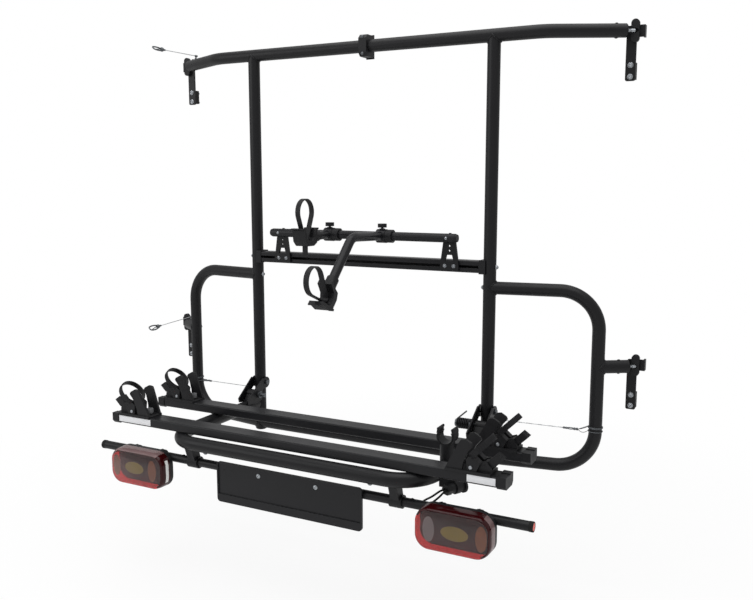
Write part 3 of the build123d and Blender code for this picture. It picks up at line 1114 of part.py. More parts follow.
for side, name in SIDES:
    inner_x = HOLDER_INNER[name]
    for rail_name, rail_y in RAILS:
        pin_x = side * (inner_x + LEVER_PIVOT_U)
        pin_z = RAIL_TOP_Z + LEVER_PIVOT_W
        knob_x = side * (inner_x + CLAMP_KNOB_U)
        knob_z = RAIL_TOP_Z + BASE_H
        hoop_middle = (side * (inner_x + HOOP_U), rail_y, RAIL_TOP_Z + HOOP_W)
        hoop_plane = place_plane(hoop_middle, (0, 1, 0), (side, 0, -1))
        with BuildPart() as wheel_holder:
            rail_plate(base_outline, side, inner_x, (rail_y - base_half, rail_y + base_half))
            rail_range = (rail_y - rail_half, rail_y + rail_half)
            rail_plate(rail_space, side, inner_x, rail_range, mode=Mode.SUBTRACT)
            for across, lean in CHEEK_LEANS.items():
                foot = (side * inner_x, rail_y + across * CHEEK_FOOT_OUT, RAIL_TOP_Z + BASE_H - 2)
                inward = (0, -across * cos(radians(lean)), sin(radians(lean)))
                cheek_plane = Plane(origin=foot, x_dir=(side, 0, 0), z_dir=inward)
                turned = 1 if cheek_plane.y_dir.Z > 0 else -1
                prism(cheek_plane, [(u, turned * w) for u, w in CHEEK_OUTLINE], CHEEK_WALL)
                block_from = rail_y + across * STRAP_BLOCK_IN
                block_to = rail_y + across * STRAP_BLOCK_OUT
                rail_plate(STRAP_BLOCK_OUTLINE, side, inner_x, sorted((block_from, block_to)))
            rail_plate(BUCKLE_OUTLINE, side, inner_x, (rail_y - BUCKLE_HALF_W, rail_y + BUCKLE_HALF_W))
            slot_range = (rail_y - slot_half, rail_y + slot_half)
            rail_plate(lever_slot, side, inner_x, slot_range, mode=Mode.SUBTRACT)
            pin_hole_from = (pin_x, rail_y - base_half, pin_z)
            pin_hole_to = (pin_x, rail_y + base_half, pin_z)
            bar(pin_hole_from, pin_hole_to, LEVER_PIN_D + 2 * SEAT_GAP, mode=Mode.SUBTRACT)
            with BuildSketch(hoop_plane.offset(-HOOP_BAND / 2 - SEAT_GAP)) as hoop_space:
                ring_sketch(2 * (HOOP_R + SEAT_GAP), 2 * (HOOP_R - HOOP_T - SEAT_GAP))
            extrude(hoop_space.sketch, amount=HOOP_BAND + 2 * SEAT_GAP, mode=Mode.SUBTRACT)
            knob_seat = knob_z + CLAMP_KNOB_FOOT_H
            bar((knob_x, rail_y, knob_z - 1), (knob_x, rail_y, knob_seat), CLAMP_KNOB_FOOT_D)
            knob_top = (knob_x, rail_y, knob_z + CLAMP_KNOB_H)
            bar((knob_x, rail_y, knob_seat + SEAT_GAP), knob_top, CLAMP_KNOB_D)
            with BuildSketch(hoop_plane.offset(-HOOP_BAND / 2)) as hoop_band:
                ring_sketch(2 * HOOP_R, 2 * (HOOP_R - HOOP_T))
            extrude(hoop_band.sketch, amount=HOOP_BAND)
            bolt_x = side * (inner_x + BLOCK_BOLT[0])
            bolt_y = rail_y - STRAP_BLOCK_OUT - SEAT_GAP
            bolt_z = RAIL_TOP_Z + BLOCK_BOLT[1]
            bar((bolt_x, bolt_y, bolt_z), (bolt_x, bolt_y - BLOCK_BOLT_T, bolt_z), BLOCK_BOLT_D)
        save(wheel_holder, f"wheel_holder_{name}_{rail_name}")

        with BuildPart() as ratchet_lever:
            pin = (pin_x, rail_y, pin_z)
            with BuildSketch(place_plane(pin, (side, 0, 0), (0, -side, 0))):
                Circle(LEVER_HUB_R)
                Polygon(*lever_outline, align=None)
                Circle(LEVER_PIN_D / 2 + SEAT_GAP, mode=Mode.SUBTRACT)
            extrude(amount=LEVER_HALF_W, both=True)
            for rib in range(LEVER_RIBS):
                groove_y = rail_y + (rib - (LEVER_RIBS - 1) / 2) * LEVER_RIB_PITCH
                groove_range = (groove_y - LEVER_GROOVE_W / 2, groove_y + LEVER_GROOVE_W / 2)
                rail_plate(LEVER_GROOVE, side, inner_x, groove_range, mode=Mode.SUBTRACT)
            pin_from = (pin_x, rail_y - BUCKLE_HALF_W, pin_z)
            bar(pin_from, (pin_x, rail_y + BUCKLE_HALF_W, pin_z), LEVER_PIN_D)
        save(ratchet_lever, f"ratchet_lever_{name}_{rail_name}")

# Frame holders: a sleeve on the bar, an arm with its own collar, a knob and a claw
sleeve_inner_r = BAR_R + RUN_GAP
sleeve_outer_r = sleeve_inner_r + SLEEVE_T
collar_inner_r = sleeve_outer_r + RUN_GAP
collar_outer_r = collar_inner_r + COLLAR_WALL
drop = radians(ARM_2_DROP_ANGLE)
ARMS = ((1, ARM_1_X, 0.0), (2, ARM_2_X, drop))
for number, arm_x, arm_drop in ARMS:
    on_bar = (arm_x, HOLDER_BAR_Y, HOLDER_BAR_Z)
    with BuildPart() as slide_collar:
        sleeve_from = (arm_x - COLLAR_W / 2 - 2, HOLDER_BAR_Y, HOLDER_BAR_Z)
        ring_from = arm_x + COLLAR_W / 2 + RUN_GAP
        ring_to = ring_from + SLEEVE_RING_W
        sleeve_to = (ring_to, HOLDER_BAR_Y, HOLDER_BAR_Z)
        bar(sleeve_from, sleeve_to, 2 * sleeve_outer_r, 2 * sleeve_inner_r)
        ring_start = (ring_from, HOLDER_BAR_Y, HOLDER_BAR_Z)
        bar(ring_start, sleeve_to, 2 * sleeve_outer_r + SLEEVE_RING_MORE, 2 * sleeve_inner_r)
    save(slide_collar, f"slide_collar_{number}")

    along = Vector(0, -cos(arm_drop), -sin(arm_drop))
    if number == 1:
        claw_middle = Vector(arm_x, HOLDER_BAR_Y - ARM_1_REACH, HOLDER_BAR_Z)
    else:
        corner = Vector(arm_x, HOLDER_BAR_Y + ARM_2_CORNER[0], HOLDER_BAR_Z + ARM_2_CORNER[1])
        claw_middle = corner + along * ARM_2_DROP_LENGTH
    tube_end = claw_middle + along * TUBE_STOP
    arm_bore_d = ARM_TUBE_D - 2 * ARM_TUBE_WALL
    with BuildPart() as arm:
        if number == 1:
            bar(on_bar, tuple(tube_end), ARM_TUBE_D, arm_bore_d)
        else:
            arm_route = [on_bar, tuple(corner), tuple(tube_end)]
            tube_run(arm_route, ARM_2_BEND_R, ARM_TUBE_D, arm_bore_d)
        collar_from = (arm_x - COLLAR_W / 2, HOLDER_BAR_Y, HOLDER_BAR_Z)
        collar_to = (arm_x + COLLAR_W / 2, HOLDER_BAR_Y, HOLDER_BAR_Z)
        bar(collar_from, collar_to, 2 * collar_outer_r)
        boss_top = HOLDER_BAR_Z + KNOB_TOP - KNOB_H - SEAT_GAP
        bar(on_bar, (arm_x, HOLDER_BAR_Y, boss_top - 3), KNOB_BOSS_D)
        bore_from = (arm_x - COLLAR_W, HOLDER_BAR_Y, HOLDER_BAR_Z)
        bore_to = (arm_x + COLLAR_W, HOLDER_BAR_Y, HOLDER_BAR_Z)
        bar(bore_from, bore_to, 2 * collar_inner_r, mode=Mode.SUBTRACT)
        stem_to = (arm_x, HOLDER_BAR_Y, boss_top + 5)
        bar(on_bar, stem_to, KNOB_STEM_D + 2 * SEAT_GAP, mode=Mode.SUBTRACT)
    save(arm, f"arm_{number}")

    with BuildPart() as arm_knob:
        knob_foot = (arm_x, HOLDER_BAR_Y, HOLDER_BAR_Z + KNOB_TOP - KNOB_H)
        stem_foot = (arm_x, HOLDER_BAR_Y, HOLDER_BAR_Z + sleeve_outer_r + RUN_GAP)
        bar(stem_foot, knob_foot, KNOB_STEM_D)
        with BuildSketch(Plane(origin=knob_foot)):
            Circle(KNOB_D / 2)
            with PolarLocations(KNOB_D / 2 + 1, KNOB_GRIPS):
                Circle(KNOB_GRIP_R, mode=Mode.SUBTRACT)
        extrude(amount=KNOB_H)
    save(arm_knob, f"arm_knob_{number}")

    # The claw is drawn in the plane of the arm: first axis outward along the arm, second axis up
    claw_side = Plane(origin=tuple(claw_middle), x_dir=tuple(along), z_dir=(-1, 0, 0))
    up = 1 if claw_side.y_dir.Z > 0 else -1
    with BuildPart() as claw:
        prism(claw_side, [(p, up * q) for p, q in CLAW_OUTLINE], CLAW_W / 2, both=True)
        socket_from = claw_middle + along * SOCKET_START
        socket_to = claw_middle + along * SOCKET_END
        bar(tuple(socket_from), tuple(socket_to), SOCKET_D)
        bore_from = tuple(socket_from - along)
        bore_to = tuple(tube_end + along * SEAT_GAP)
        bar(bore_from, bore_to, ARM_TUBE_D + 2 * SEAT_GAP, mode=Mode.SUBTRACT)
        with BuildSketch(claw_side) as strap_slot:
            with Locations((0, -up * STRAP_SLOT_LENGTH / 2 - up * 5)):
                Rectangle(2 * CLAW_STRAP_T + 1.6, STRAP_SLOT_LENGTH)
        extrude(strap_slot.sketch, amount=CLAW_STRAP_W / 2 + 0.5, both=True, mode=Mode.SUBTRACT)
        for inset, mode in ((0, Mode.ADD), (CLAW_STRAP_T, Mode.SUBTRACT)):
            with BuildSketch(claw_side) as strap_loop:
                with Locations((0, up * STRAP_CENTRE_Q)):
                    Circle(STRAP_LOOP_R - inset)
                with Locations((0, up * STRAP_FOOT_Q)):
                    Circle(STRAP_FOOT_R - inset)
                make_hull()
            extrude(strap_loop.sketch, amount=CLAW_STRAP_W / 2, both=True, mode=mode)
        with BuildSketch(claw_side) as strap_tail:
            with Locations((0, up * (STRAP_FOOT_Q - STRAP_FOOT_R + 1 - STRAP_TAIL / 2))):
                Rectangle(2 * CLAW_STRAP_T, STRAP_TAIL)
        extrude(strap_tail.sketch, amount=CLAW_STRAP_W / 2, both=True)
    save(claw, f"claw_{number}")

# Safety wires: taut steel wires with an eyelet at the frame and a snap hook at the free end
for number, (wire_start, wire_end, anchor_foot, loop_x) in enumerate(WIRE_ENDS, start=1):
    with BuildPart() as safety_wire:
        bar(wire_start, wire_end, WIRE_D)
    save(safety_wire, f"safety_wire_{number}")

with BuildPart() as snap_hooks:
    for wire_start, wire_end, anchor_foot, loop_x in WIRE_ENDS:
        start = Vector(*wire_start)
        heading = (Vector(*wire_end) - start).normalized()
        eyelet_from = tuple(start - heading * (FERRULE_LENGTH / 2 + SEAT_GAP))
        bar(eyelet_from, tuple(start - heading * SEAT_GAP), FERRULE_D)
        end = Vector(*wire_end)
        bar(tuple(end + heading * SEAT_GAP), tuple(end + heading * FERRULE_LENGTH), FERRULE_D)
        ring_middle = end + heading * (FERRULE_LENGTH + HOOK_LENGTH / 2 - 1)
        ring_plane = Plane(origin=ring_middle, x_dir=heading, z_dir=Vector(0, 0, 1))
        with BuildSketch(ring_plane.offset(-HOOK_WIRE_D / 2)):
            SlotOverall(HOOK_LENGTH, HOOK_WIDTH)
            SlotOverall(HOOK_LENGTH - 2 * HOOK_WIRE_D, HOOK_WIDTH - 2 * HOOK_WIRE_D, mode=Mode.SUBTRACT)
        extrude(amount=HOOK_WIRE_D)
        bar(anchor_foot, tuple(start - heading * FERRULE_LENGTH / 3), FERRULE_D * 0.8)
        if loop_x:
            leg_foot = (loop_x, UPRIGHT_Y + LOOP_OUT_BACK, ring_middle.Z - HOOK_WIRE_D / 2)
            leg_top = (loop_x, UPRIGHT_Y + LOOP_OUT_BACK, ring_middle.Z + HOOK_WIRE_D / 2)
            ring_inner_d = TUBE_D + 2 * SEAT_GAP
            bar(leg_foot, leg_top, ring_inner_d + 2 * HOOK_WIRE_D, ring_inner_d)
save(snap_hooks, "snap_hooks")
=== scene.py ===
"""Looks of the two-bike carrier for van doors: finishes, small details, light and camera.

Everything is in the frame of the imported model. Lengths are given in millimetres and turned
into metres by MM or at(). The lights, the floor's radius and its glow are given in metres.
"""

import json
from math import atan2, cos, pi, radians, sin, sqrt

import bmesh
import bpy
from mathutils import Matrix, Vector


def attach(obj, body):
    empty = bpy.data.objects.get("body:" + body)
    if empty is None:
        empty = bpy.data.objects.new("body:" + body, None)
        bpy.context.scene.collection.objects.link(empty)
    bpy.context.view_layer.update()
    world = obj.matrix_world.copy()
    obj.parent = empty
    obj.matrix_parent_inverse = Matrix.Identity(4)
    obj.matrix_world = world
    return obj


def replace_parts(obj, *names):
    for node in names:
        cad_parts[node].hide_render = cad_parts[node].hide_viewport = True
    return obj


MM = 0.001
LEFT_RIGHT = (-1, 1)
SIDES = ((-1, "left"), (1, "right"))
X_AXIS = Vector((1, 0, 0))
Y_AXIS = Vector((0, 1, 0))
Z_AXIS = Vector((0, 0, 1))

# The photograph's view
CAMERA_PLACE = (1363.1, -2721.3, 699.5)
CAMERA_TURN = (90 - 8.0886, 0.0, 27.2038)
CAMERA_LENS = 39.33
SENSOR_W = 36.0
FLOOR_Z = -640.0
FLOOR_T = 10.0

# Main places of the carrier, as in the part's source
UPRIGHT_X = 463.0
UPRIGHT_Y = -154.0
TUBE_R = 21.2
BEAM_Z = 1162.5
BEAM_TIP = (849.6, -47.9)
BEAM_TURN = 25.49
LOOP_TOP_Z = 357.5
LOOP_BOTTOM_Z = -222.5
LOOP_OUT = (813.7, -100.7)
STUB_OUT = (897.0, -47.9)
STUB_TURN = 32.37
STUB_Z = 115.5
LOWER_BRACKET_Z = 118.5
CROSSBAR_Z = 426.0
CROSSBAR_FACE_Y = -185.6
HOLDER_BAR_Y = -200.3
HOLDER_BAR_Z = 520.0
HOLDER_BAR_R = 15.0
RAIL_TOP_Z = -88.5
FRONT_RAIL_Y = -645.7
REAR_RAIL_Y = -416.7
RAIL_FACE_OUT = 31.0
FRAME_TUBE_Z = -141.3
FRAME_TUBE_R = 22.5
LIGHT_BAR_Y = -660.8
LIGHT_BAR_Z = -214.5
LIGHT_BAR_R = 14.0
TRAY_FLOOR_Y = -679.1
LAMP_X = 568.0
LAMP_Z = -250.5
LAMP_W = 226.0
LAMP_H = 124.0
LAMP_CORNER = 44.0
LENS_BACK_Y = -690.4
LENS_T = 40.0
LENS_WALL = 2.5
HOLDER_INNER = {"left": 552.0, "right": 525.0}

# Gap between a screw's washer and the face under it, so that the two don't touch
SEAT_GAP = 0.3

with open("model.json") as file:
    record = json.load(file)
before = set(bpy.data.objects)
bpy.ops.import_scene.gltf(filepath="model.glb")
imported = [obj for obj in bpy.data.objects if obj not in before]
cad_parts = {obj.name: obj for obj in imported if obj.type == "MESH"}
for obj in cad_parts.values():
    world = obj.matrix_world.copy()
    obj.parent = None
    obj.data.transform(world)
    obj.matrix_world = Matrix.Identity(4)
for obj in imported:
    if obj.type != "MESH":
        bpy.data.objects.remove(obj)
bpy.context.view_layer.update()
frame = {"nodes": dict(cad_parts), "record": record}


def at(x, y, z):
    """A place given in millimetres."""
    return Vector((x, y, z)) * MM


def linear(colour):
    """An sRGB colour in hex digits as linear red, green, blue and alpha."""
    shares = [int(colour[n : n + 2], 16) / 255 for n in (0, 2, 4)]
    light = [s / 12.92 if s <= 0.04045 else ((s + 0.055) / 1.055) ** 2.4 for s in shares]
    return (*light, 1.0)


def add(tree, kind, inputs, **settings):
    """Add a shader node; an input is a plain value or another node's output."""
    made = tree.nodes.new("ShaderNode" + kind)
    for name, value in settings.items():
        setattr(made, name, value)
    for name, value in inputs.items():
        if isinstance(value, bpy.types.NodeSocket):
            tree.links.new(value, made.inputs[name])
        else:
            made.inputs[name].default_value = value
    return made


def per_mm(size):
    """The texture scale that gives features of this size in millimetres."""
    return 1 / (size * MM)


# Sockets of a Mix node that mixes two colours
FIRST_COLOUR = 6
SECOND_COLOUR = 7
MIXED_COLOUR = 2

# Wear shows where a surface turns away from its flat face, and only inside scuffs of this size
SCUFF_MM = 9
EDGE_TURN = {"From Min": 0.98, "From Max": 0.8}
SCUFF_SHARE = {"From Min": 0.42, "From Max": 0.62}
EDGE_SAMPLES = 6

# Lowest and highest sum of patches and grain, between which the roughness runs
GLOSS_SHARE = {"From Min": 0.7, "From Max": 1.3}


def coated(
    name,
    colours,
    patch_mm,
    grain_mm,
    depth_mm,
    rough,
    stretch=(1, 1, 1),
    edge_mm=0.8,
    wear=0.4,
    fixed=None,
):
    """A surface with patches of two colours, a third one on worn edges, and a grain.

    The roughness runs between the two values of rough with the patches and the grain, and the
    grain stands up by depth_mm. Edges are shaded as if rounded by edge_mm.
    """
    base, other, worn = [linear(colour) for colour in colours]
    material = bpy.data.materials.new(name)
    material.use_nodes = True
    tree = material.node_tree
    shader = tree.nodes["Principled BSDF"]
    object_place = add(tree, "TexCoord", {}).outputs["Object"]
    place = add(tree, "Mapping", {"Vector": object_place, "Scale": stretch}).outputs["Vector"]
    patches = add(tree, "TexNoise", {"Vector": place, "Scale": per_mm(patch_mm), "Detail": 5.0})
    grain = add(tree, "TexNoise", {"Vector": place, "Scale": per_mm(grain_mm), "Detail": 2.0})
    scuffs = add(tree, "TexNoise", {"Vector": object_place, "Scale": per_mm(SCUFF_MM), "Detail": 4.0})
    rounded = add(tree, "Bevel", {"Radius": edge_mm * MM}, samples=EDGE_SAMPLES)

    flat = add(tree, "NewGeometry", {})
    facing = {0: rounded.outputs["Normal"], 1: flat.outputs["Normal"]}
    turning = add(tree, "VectorMath", facing, operation="DOT_PRODUCT")
    edge = add(tree, "MapRange", {"Value": turning.outputs["Value"], **EDGE_TURN, "To Max": wear})
    scuffed = add(tree, "MapRange", {"Value": scuffs.outputs["Fac"], **SCUFF_SHARE})
    both = {0: edge.outputs["Result"], 1: scuffed.outputs["Result"]}
    worn_share = add(tree, "Math", both, operation="MULTIPLY")

    patch_colours = {"Factor": patches.outputs["Fac"], FIRST_COLOUR: base, SECOND_COLOUR: other}
    body_colour = add(tree, "Mix", patch_colours, data_type="RGBA").outputs[MIXED_COLOUR]
    worn_colours = {"Factor": worn_share.outputs["Value"], FIRST_COLOUR: body_colour, SECOND_COLOUR: worn}
    colour = add(tree, "Mix", worn_colours, data_type="RGBA").outputs[MIXED_COLOUR]
    tree.links.new(colour, shader.inputs["Base Color"])

    sum_of_both = {0: patches.outputs["Fac"], 1: grain.outputs["Fac"]}
    gloss = add(tree, "Math", sum_of_both, operation="ADD")
    rough_range = {"Value": gloss.outputs["Value"], **GLOSS_SHARE, "To Min": rough[0], "To Max": rough[1]}
    tree.links.new(add(tree, "MapRange", rough_range).outputs["Result"], shader.inputs["Roughness"])

    relief = {"Height": grain.outputs["Fac"], "Distance": depth_mm * MM, "Normal": rounded.outputs["Normal"]}
    tree.links.new(add(tree, "Bump", relief).outputs["Normal"], shader.inputs["Normal"])
    for socket, value in (fixed or {}).items():
        shader.inputs[socket].default_value = value
    return material


# A satin coat reflects less than a glossy one: the shader's specular level of such coats
SATIN = {"Specular IOR Level": 0.24}

FINISHES = {
    # Polyester powder coat, sprayed and baked on welded steel tube: satin black whose highlights
    # are soft and slightly broken by orange peel with waves of 1.4 mm
    "powder_coat": coated(
        "powder_coat",
        ("131315", "18181a", "48484a"),
        patch_mm=90,
        grain_mm=1.4,
        depth_mm=0.05,
        rough=(0.34, 0.46),
        wear=0.5,
        fixed=SATIN,
    ),
    # Extruded aluminium under a satin black coat: long highlights with faint draw lines along the
    # rail. The lines are finer in the metal and drawn 1.1 mm apart, so that they show
    "rail_coat": coated(
        "rail_coat",
        ("151517", "1b1b1e", "6a6c70"),
        patch_mm=70,
        grain_mm=1.1,
        depth_mm=0.03,
        rough=(0.28, 0.42),
        stretch=(0.04, 1, 1),
        edge_mm=1.2,
        fixed=SATIN,
    ),
    # Nylon from a spark-eroded mould: a dull black that scatters its highlights. The mould's grain
    # is about 0.1 mm and too fine to show, so it is drawn at 0.7 mm
    "black_plastic": coated(
        "black_plastic",
        ("151517", "1b1b1d", "38383a"),
        patch_mm=40,
        grain_mm=0.7,
        depth_mm=0.06,
        rough=(0.4, 0.56),
        wear=0.35,
        fixed=SATIN,
    ),
    # Moulded rubber with a dull skin: almost no highlight. Its pores are drawn at 1 mm, coarser
    # than they are, so that they show
    "black_rubber": coated(
        "black_rubber",
        ("111111", "161615", "292928"),
        patch_mm=25,
        grain_mm=1.0,
        depth_mm=0.08,
        rough=(0.6, 0.8),
        wear=0.3,
        fixed=SATIN,
    ),
    # Zinc-plated steel fasteners: bright, with clouds from the plating bath. The plating's crystals
    # are drawn at 0.5 mm, coarser than they are, so that they show
    "zinc_steel": coated(
        "zinc_steel",
        ("b9bcc0", "8f9499", "dfe1e3"),
        patch_mm=6,
        grain_mm=0.5,
        depth_mm=0.02,
        rough=(0.24, 0.42),
        wear=0.6,
        fixed={"Metallic": 1.0},
    ),
    # Galvanised strands laid into a wire: pale, with a glint on every strand
    "wire_steel": coated(
        "wire_steel",
        ("a9acae", "d0d2d3", "e4e5e6"),
        patch_mm=3,
        grain_mm=0.9,
        depth_mm=0.25,
        rough=(0.3, 0.5),
        edge_mm=0.2,
        fixed={"Metallic": 0.75},
    ),
    # Black phosphated spring steel, coiled cold and oiled: dark, with a line of light along each
    # turn. The wire's grain is drawn at 0.6 mm, coarser than it is, so that it shows
    "spring_steel": coated(
        "spring_steel",
        ("1d1d1f", "2c2c2e", "6c6c70"),
        patch_mm=14,
        grain_mm=0.6,
        depth_mm=0.03,
        rough=(0.28, 0.4),
        fixed={"Metallic": 0.85},
    ),
    # Moulded ABS mask behind the lens: black plastic that the red lens gives a dark red cast
    "lamp_reflector": coated(
        "lamp_reflector",
        ("3c1a18", "341416", "502426"),
        patch_mm=30,
        grain_mm=1.2,
        depth_mm=0.05,
        rough=(0.35, 0.5),
    ),
    # Red acrylic moulded with small prisms: a bright red that is broken into cells of 1.8 mm
    "red_reflector": coated(
        "red_reflector",
        ("e03422", "e84a2c", "f07858"),
        patch_mm=5,
        grain_mm=1.8,
        depth_mm=0.2,
        rough=(0.2, 0.3),
        fixed=SATIN,
    ),
}

# Near acrylic's 1.49
ACRYLIC_IOR = 1.46


def acrylic(name, colours, clearness, rough=(0.03, 0.08), gloss=0.16):
    """Acrylic from a polished mould, with a faint waviness; clearness is the share of light let through."""
    fixed = {"Transmission Weight": clearness, "IOR": ACRYLIC_IOR, "Specular IOR Level": gloss}
    return coated(
        name,
        colours,
        patch_mm=50,
        grain_mm=4.0,
        depth_mm=0.02,
        rough=rough,
        wear=0.2,
        fixed=fixed,
    )


# The lamp's lens is one moulding of acrylic. Its smoked front is clear enough to show the optics. Its rims
# are red acrylic. On top and at the right end they are given a dark copy of it as painted shade and a pale
# copy as painted light, standing in for how the light falls through them
FINISHES["lamp_red"] = acrylic("smoked_acrylic", ("cdb4b4", "c6acac", "d8c4c4"), 1.0, gloss=0.08)
LENS_FINISHES = [
    FINISHES["lamp_red"],
    acrylic("red_acrylic", ("f42222", "ec1e1e", "f64444"), 0.85, (0.04, 0.1), 0.08),
    acrylic("red_acrylic_painted_shade", ("480c10", "3e080c", "602024"), 0.5, (0.1, 0.16), 0.1),
    acrylic("red_acrylic_painted_light", ("9c8080", "907474", "b09898"), 0.5, (0.08, 0.16)),
    acrylic("milky_acrylic", ("f8f8f6", "f0f0ee", "fafaf8"), 0.15, (0.08, 0.16)),
]
# Places of the red rim, the rims in painted shade and painted light, and the window in that list
RIM_RED = 1
RIM_PAINTED_SHADE = 2
RIM_PAINTED_LIGHT = 3
WINDOW = 4

# Grey nylon of the clamp knobs, from a grained mould: matt, so that the flutes show by shade alone.
# The grain is drawn at 0.7 mm, coarser than it is, so that it shows
GREY_NYLON = coated(
    "grey_nylon",
    ("6a6b6d", "5c5d5f", "8c8d90"),
    patch_mm=20,
    grain_mm=0.7,
    depth_mm=0.06,
    rough=(0.4, 0.55),
    wear=0.4,
)
# Galvanised steel of the snap hooks, the hinge pins and the clamp screws: grey and dull from the
# zinc bath, with soft highlights. Its crystals are drawn at 0.5 mm so that they show
GALVANISED_STEEL = coated(
    "galvanised_steel",
    ("6e7174", "5c5f62", "a4a7aa"),
    patch_mm=6,
    grain_mm=0.5,
    depth_mm=0.05,
    rough=(0.4, 0.55),
    wear=0.5,
    fixed={"Metallic": 1.0},
)
# Painted shade at the bottom of the small holes: a near-black plastic that stands in for the shade inside
# them and gives back almost no light. Its grain is drawn at 0.8 mm, coarser than it is
HOLE_PAINTED_SHADE = coated(
    "hole_painted_shade",
    ("050505", "080808", "101010"),
    patch_mm=10,
    grain_mm=0.8,
    depth_mm=0.03,
    rough=(0.6, 0.8),
    wear=0.1,
)
# White reflective film, bare: an even white with a slight sheen. Its glass beads are far too fine
# to show, and the unevenness under it is drawn at 1.5 mm
REFLECTIVE_FILM = coated(
    "reflective_film",
    ("e9eaec", "dfe0e3", "f6f7f8"),
    patch_mm=30,
    grain_mm=1.5,
    depth_mm=0.05,
    rough=(0.3, 0.42),
    wear=0.2,
)

# Acrylic optics of the lamp cells, moulded with prisms that scatter their colour. The prisms are
# drawn at 2.5 mm, coarser than they are, so that they show through the lens
CELL_HUES = {
    "clear": ("b4d4d4", "a4c4c4", "c4dede"),
    "amber": ("bcd04e", "acc040", "ccdc70"),
    "brown": ("b89058", "a8804a", "c4a478"),
}
CELL_COLOURS = {}
for hue, colours in CELL_HUES.items():
    CELL_COLOURS[hue] = coated(
        f"{hue}_acrylic_prisms",
        colours,
        patch_mm=12,
        grain_mm=2.5,
        depth_mm=0.2,
        rough=(0.25, 0.35),
    )

# Every CAD node keeps its record slot and gets that slot's finish; only the hinge pins are duller
for subpart in frame["record"]["subparts"]:
    shown = frame["nodes"][subpart["node"]].data
    shown.materials.clear()
    dull = subpart["node"] == "hinge_pins"
    shown.materials.append(GALVANISED_STEEL if dull else FINISHES[subpart["material_slot"]])

# Faces that meet at more than this angle keep a sharp edge between them
SHARP_ANGLE = radians(35)


def new_piece(name, bm, slot, body, finishes=None):
    """Turn a bmesh into a piece that rides on a CAD body."""
    bmesh.ops.recalc_face_normals(bm, faces=bm.faces)
    mesh = bpy.data.meshes.new(name)
    bm.to_mesh(mesh)
    bm.free()
    for finish in finishes or [FINISHES[slot]]:
        mesh.materials.append(finish)
    mesh.shade_smooth()
    mesh.set_sharp_from_angle(angle=SHARP_ANGLE)
    piece = bpy.data.objects.new(name, mesh)
    bpy.context.scene.collection.objects.link(piece)
    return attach(piece, body)


def skin(bm, rings, looped=False):
    """Cover a row of rings with faces; its ends are closed unless the row is looped."""
    rows = [[bm.verts.new(point) for point in ring] for ring in rings]
    pairs = list(zip(rows, rows[1:]))
    if looped:
        pairs.append((rows[-1], rows[0]))
    else:
        bm.faces.new(rows[0])
        bm.faces.new(rows[-1])
    for low, high in pairs:
        for n in range(len(low)):
            m = (n + 1) % len(low)
            bm.faces.new((low[n], low[m], high[m], high[n]))


def ring(centre, axis, radius, count=24):
    """Points on a circle round an axis."""
    side = axis.orthogonal().normalized()
    up = axis.cross(side).normalized()
    turns = [2 * pi * n / count for n in range(count)]
    return [centre + side * radius * cos(t) + up * radius * sin(t) for t in turns]


def lathe(bm, place, axis, profile, count=24, looped=False):
    """Turn a profile of distances along the axis and radii, in millimetres, round an axis through place.

    A looped profile is closed in itself and makes a ring; the ends of any other are covered.
    """
    rings = [ring(place + axis * along * MM, axis, radius * MM, count) for along, radius in profile]
    skin(bm, rings, looped)


# Depth of the grooves between a rope's strands, as a share of its radius
STRAND_GROOVE = 0.22


def rod(bm, path, radius, normal, closed=False, sides=10, strands=0, lay=1.0):
    """A rod along a path; with strands its surface is that of a rope twisted once in each lay."""
    rings = []
    run = 0.0
    last = len(path) - 1
    for n, point in enumerate(path):
        ahead = path[(n + 1) % len(path)] if closed or n < last else point
        behind = path[n - 1] if closed or n > 0 else point
        heading = (ahead - behind).normalized()
        side = heading.cross(normal).normalized()
        up = side.cross(heading)
        run += (point - path[n - 1]).length if n else 0.0
        spokes = []
        for s in range(sides):
            turn = 2 * pi * s / sides
            groove = abs(sin(strands * (turn - 2 * pi * run / lay) / 2))
            size = radius * (1 - STRAND_GROOVE * groove)
            spokes.append(point + side * size * cos(turn) + up * size * sin(turn))
        rings.append(spokes)
    skin(bm, rings, looped=closed)


def line(start, end, count):
    """Evenly spaced points from start to end."""
    return [start.lerp(end, n / (count - 1)) for n in range(count)]


def hexagon(centre, axis, flats, count=24):
    """A ring of points on a hexagon that measures flats from side to side."""
    points = []
    for point in ring(centre, axis, 1.0, count):
        spoke = (point - centre).normalized()
        angle = 2 * pi * len(points) / count
        sector = (angle + pi / 6) % (pi / 3) - pi / 6
        points.append(centre + spoke * flats / 2 / cos(sector))
    return points


# Weld beads: steps round a tube, radius, and how much and how often the weld pools swell it
WELD_STEPS = 80
WELD_R = 3.2
WELD_SIDES = 8
RIPPLE = 0.16
RIPPLE_TURN = 0.7


def bead(bm, path):
    """A closed weld bead along a path, with the ripple that each weld pool leaves."""
    middle = sum(path, Vector()) / len(path)
    turns = [2 * pi * s / WELD_SIDES for s in range(WELD_SIDES)]
    rings = []
    for n, point in enumerate(path):
        heading = (path[(n + 1) % len(path)] - path[n - 1]).normalized()
        out = (point - middle) - heading * (point - middle).dot(heading)
        out.normalize()
        side = heading.cross(out)
        size = WELD_R * MM * (1 + RIPPLE * sin(n * pi * RIPPLE_TURN))
        rings.append([point + out * size * cos(t) + side * size * sin(t) for t in turns])
    skin(bm, rings, looped=True)


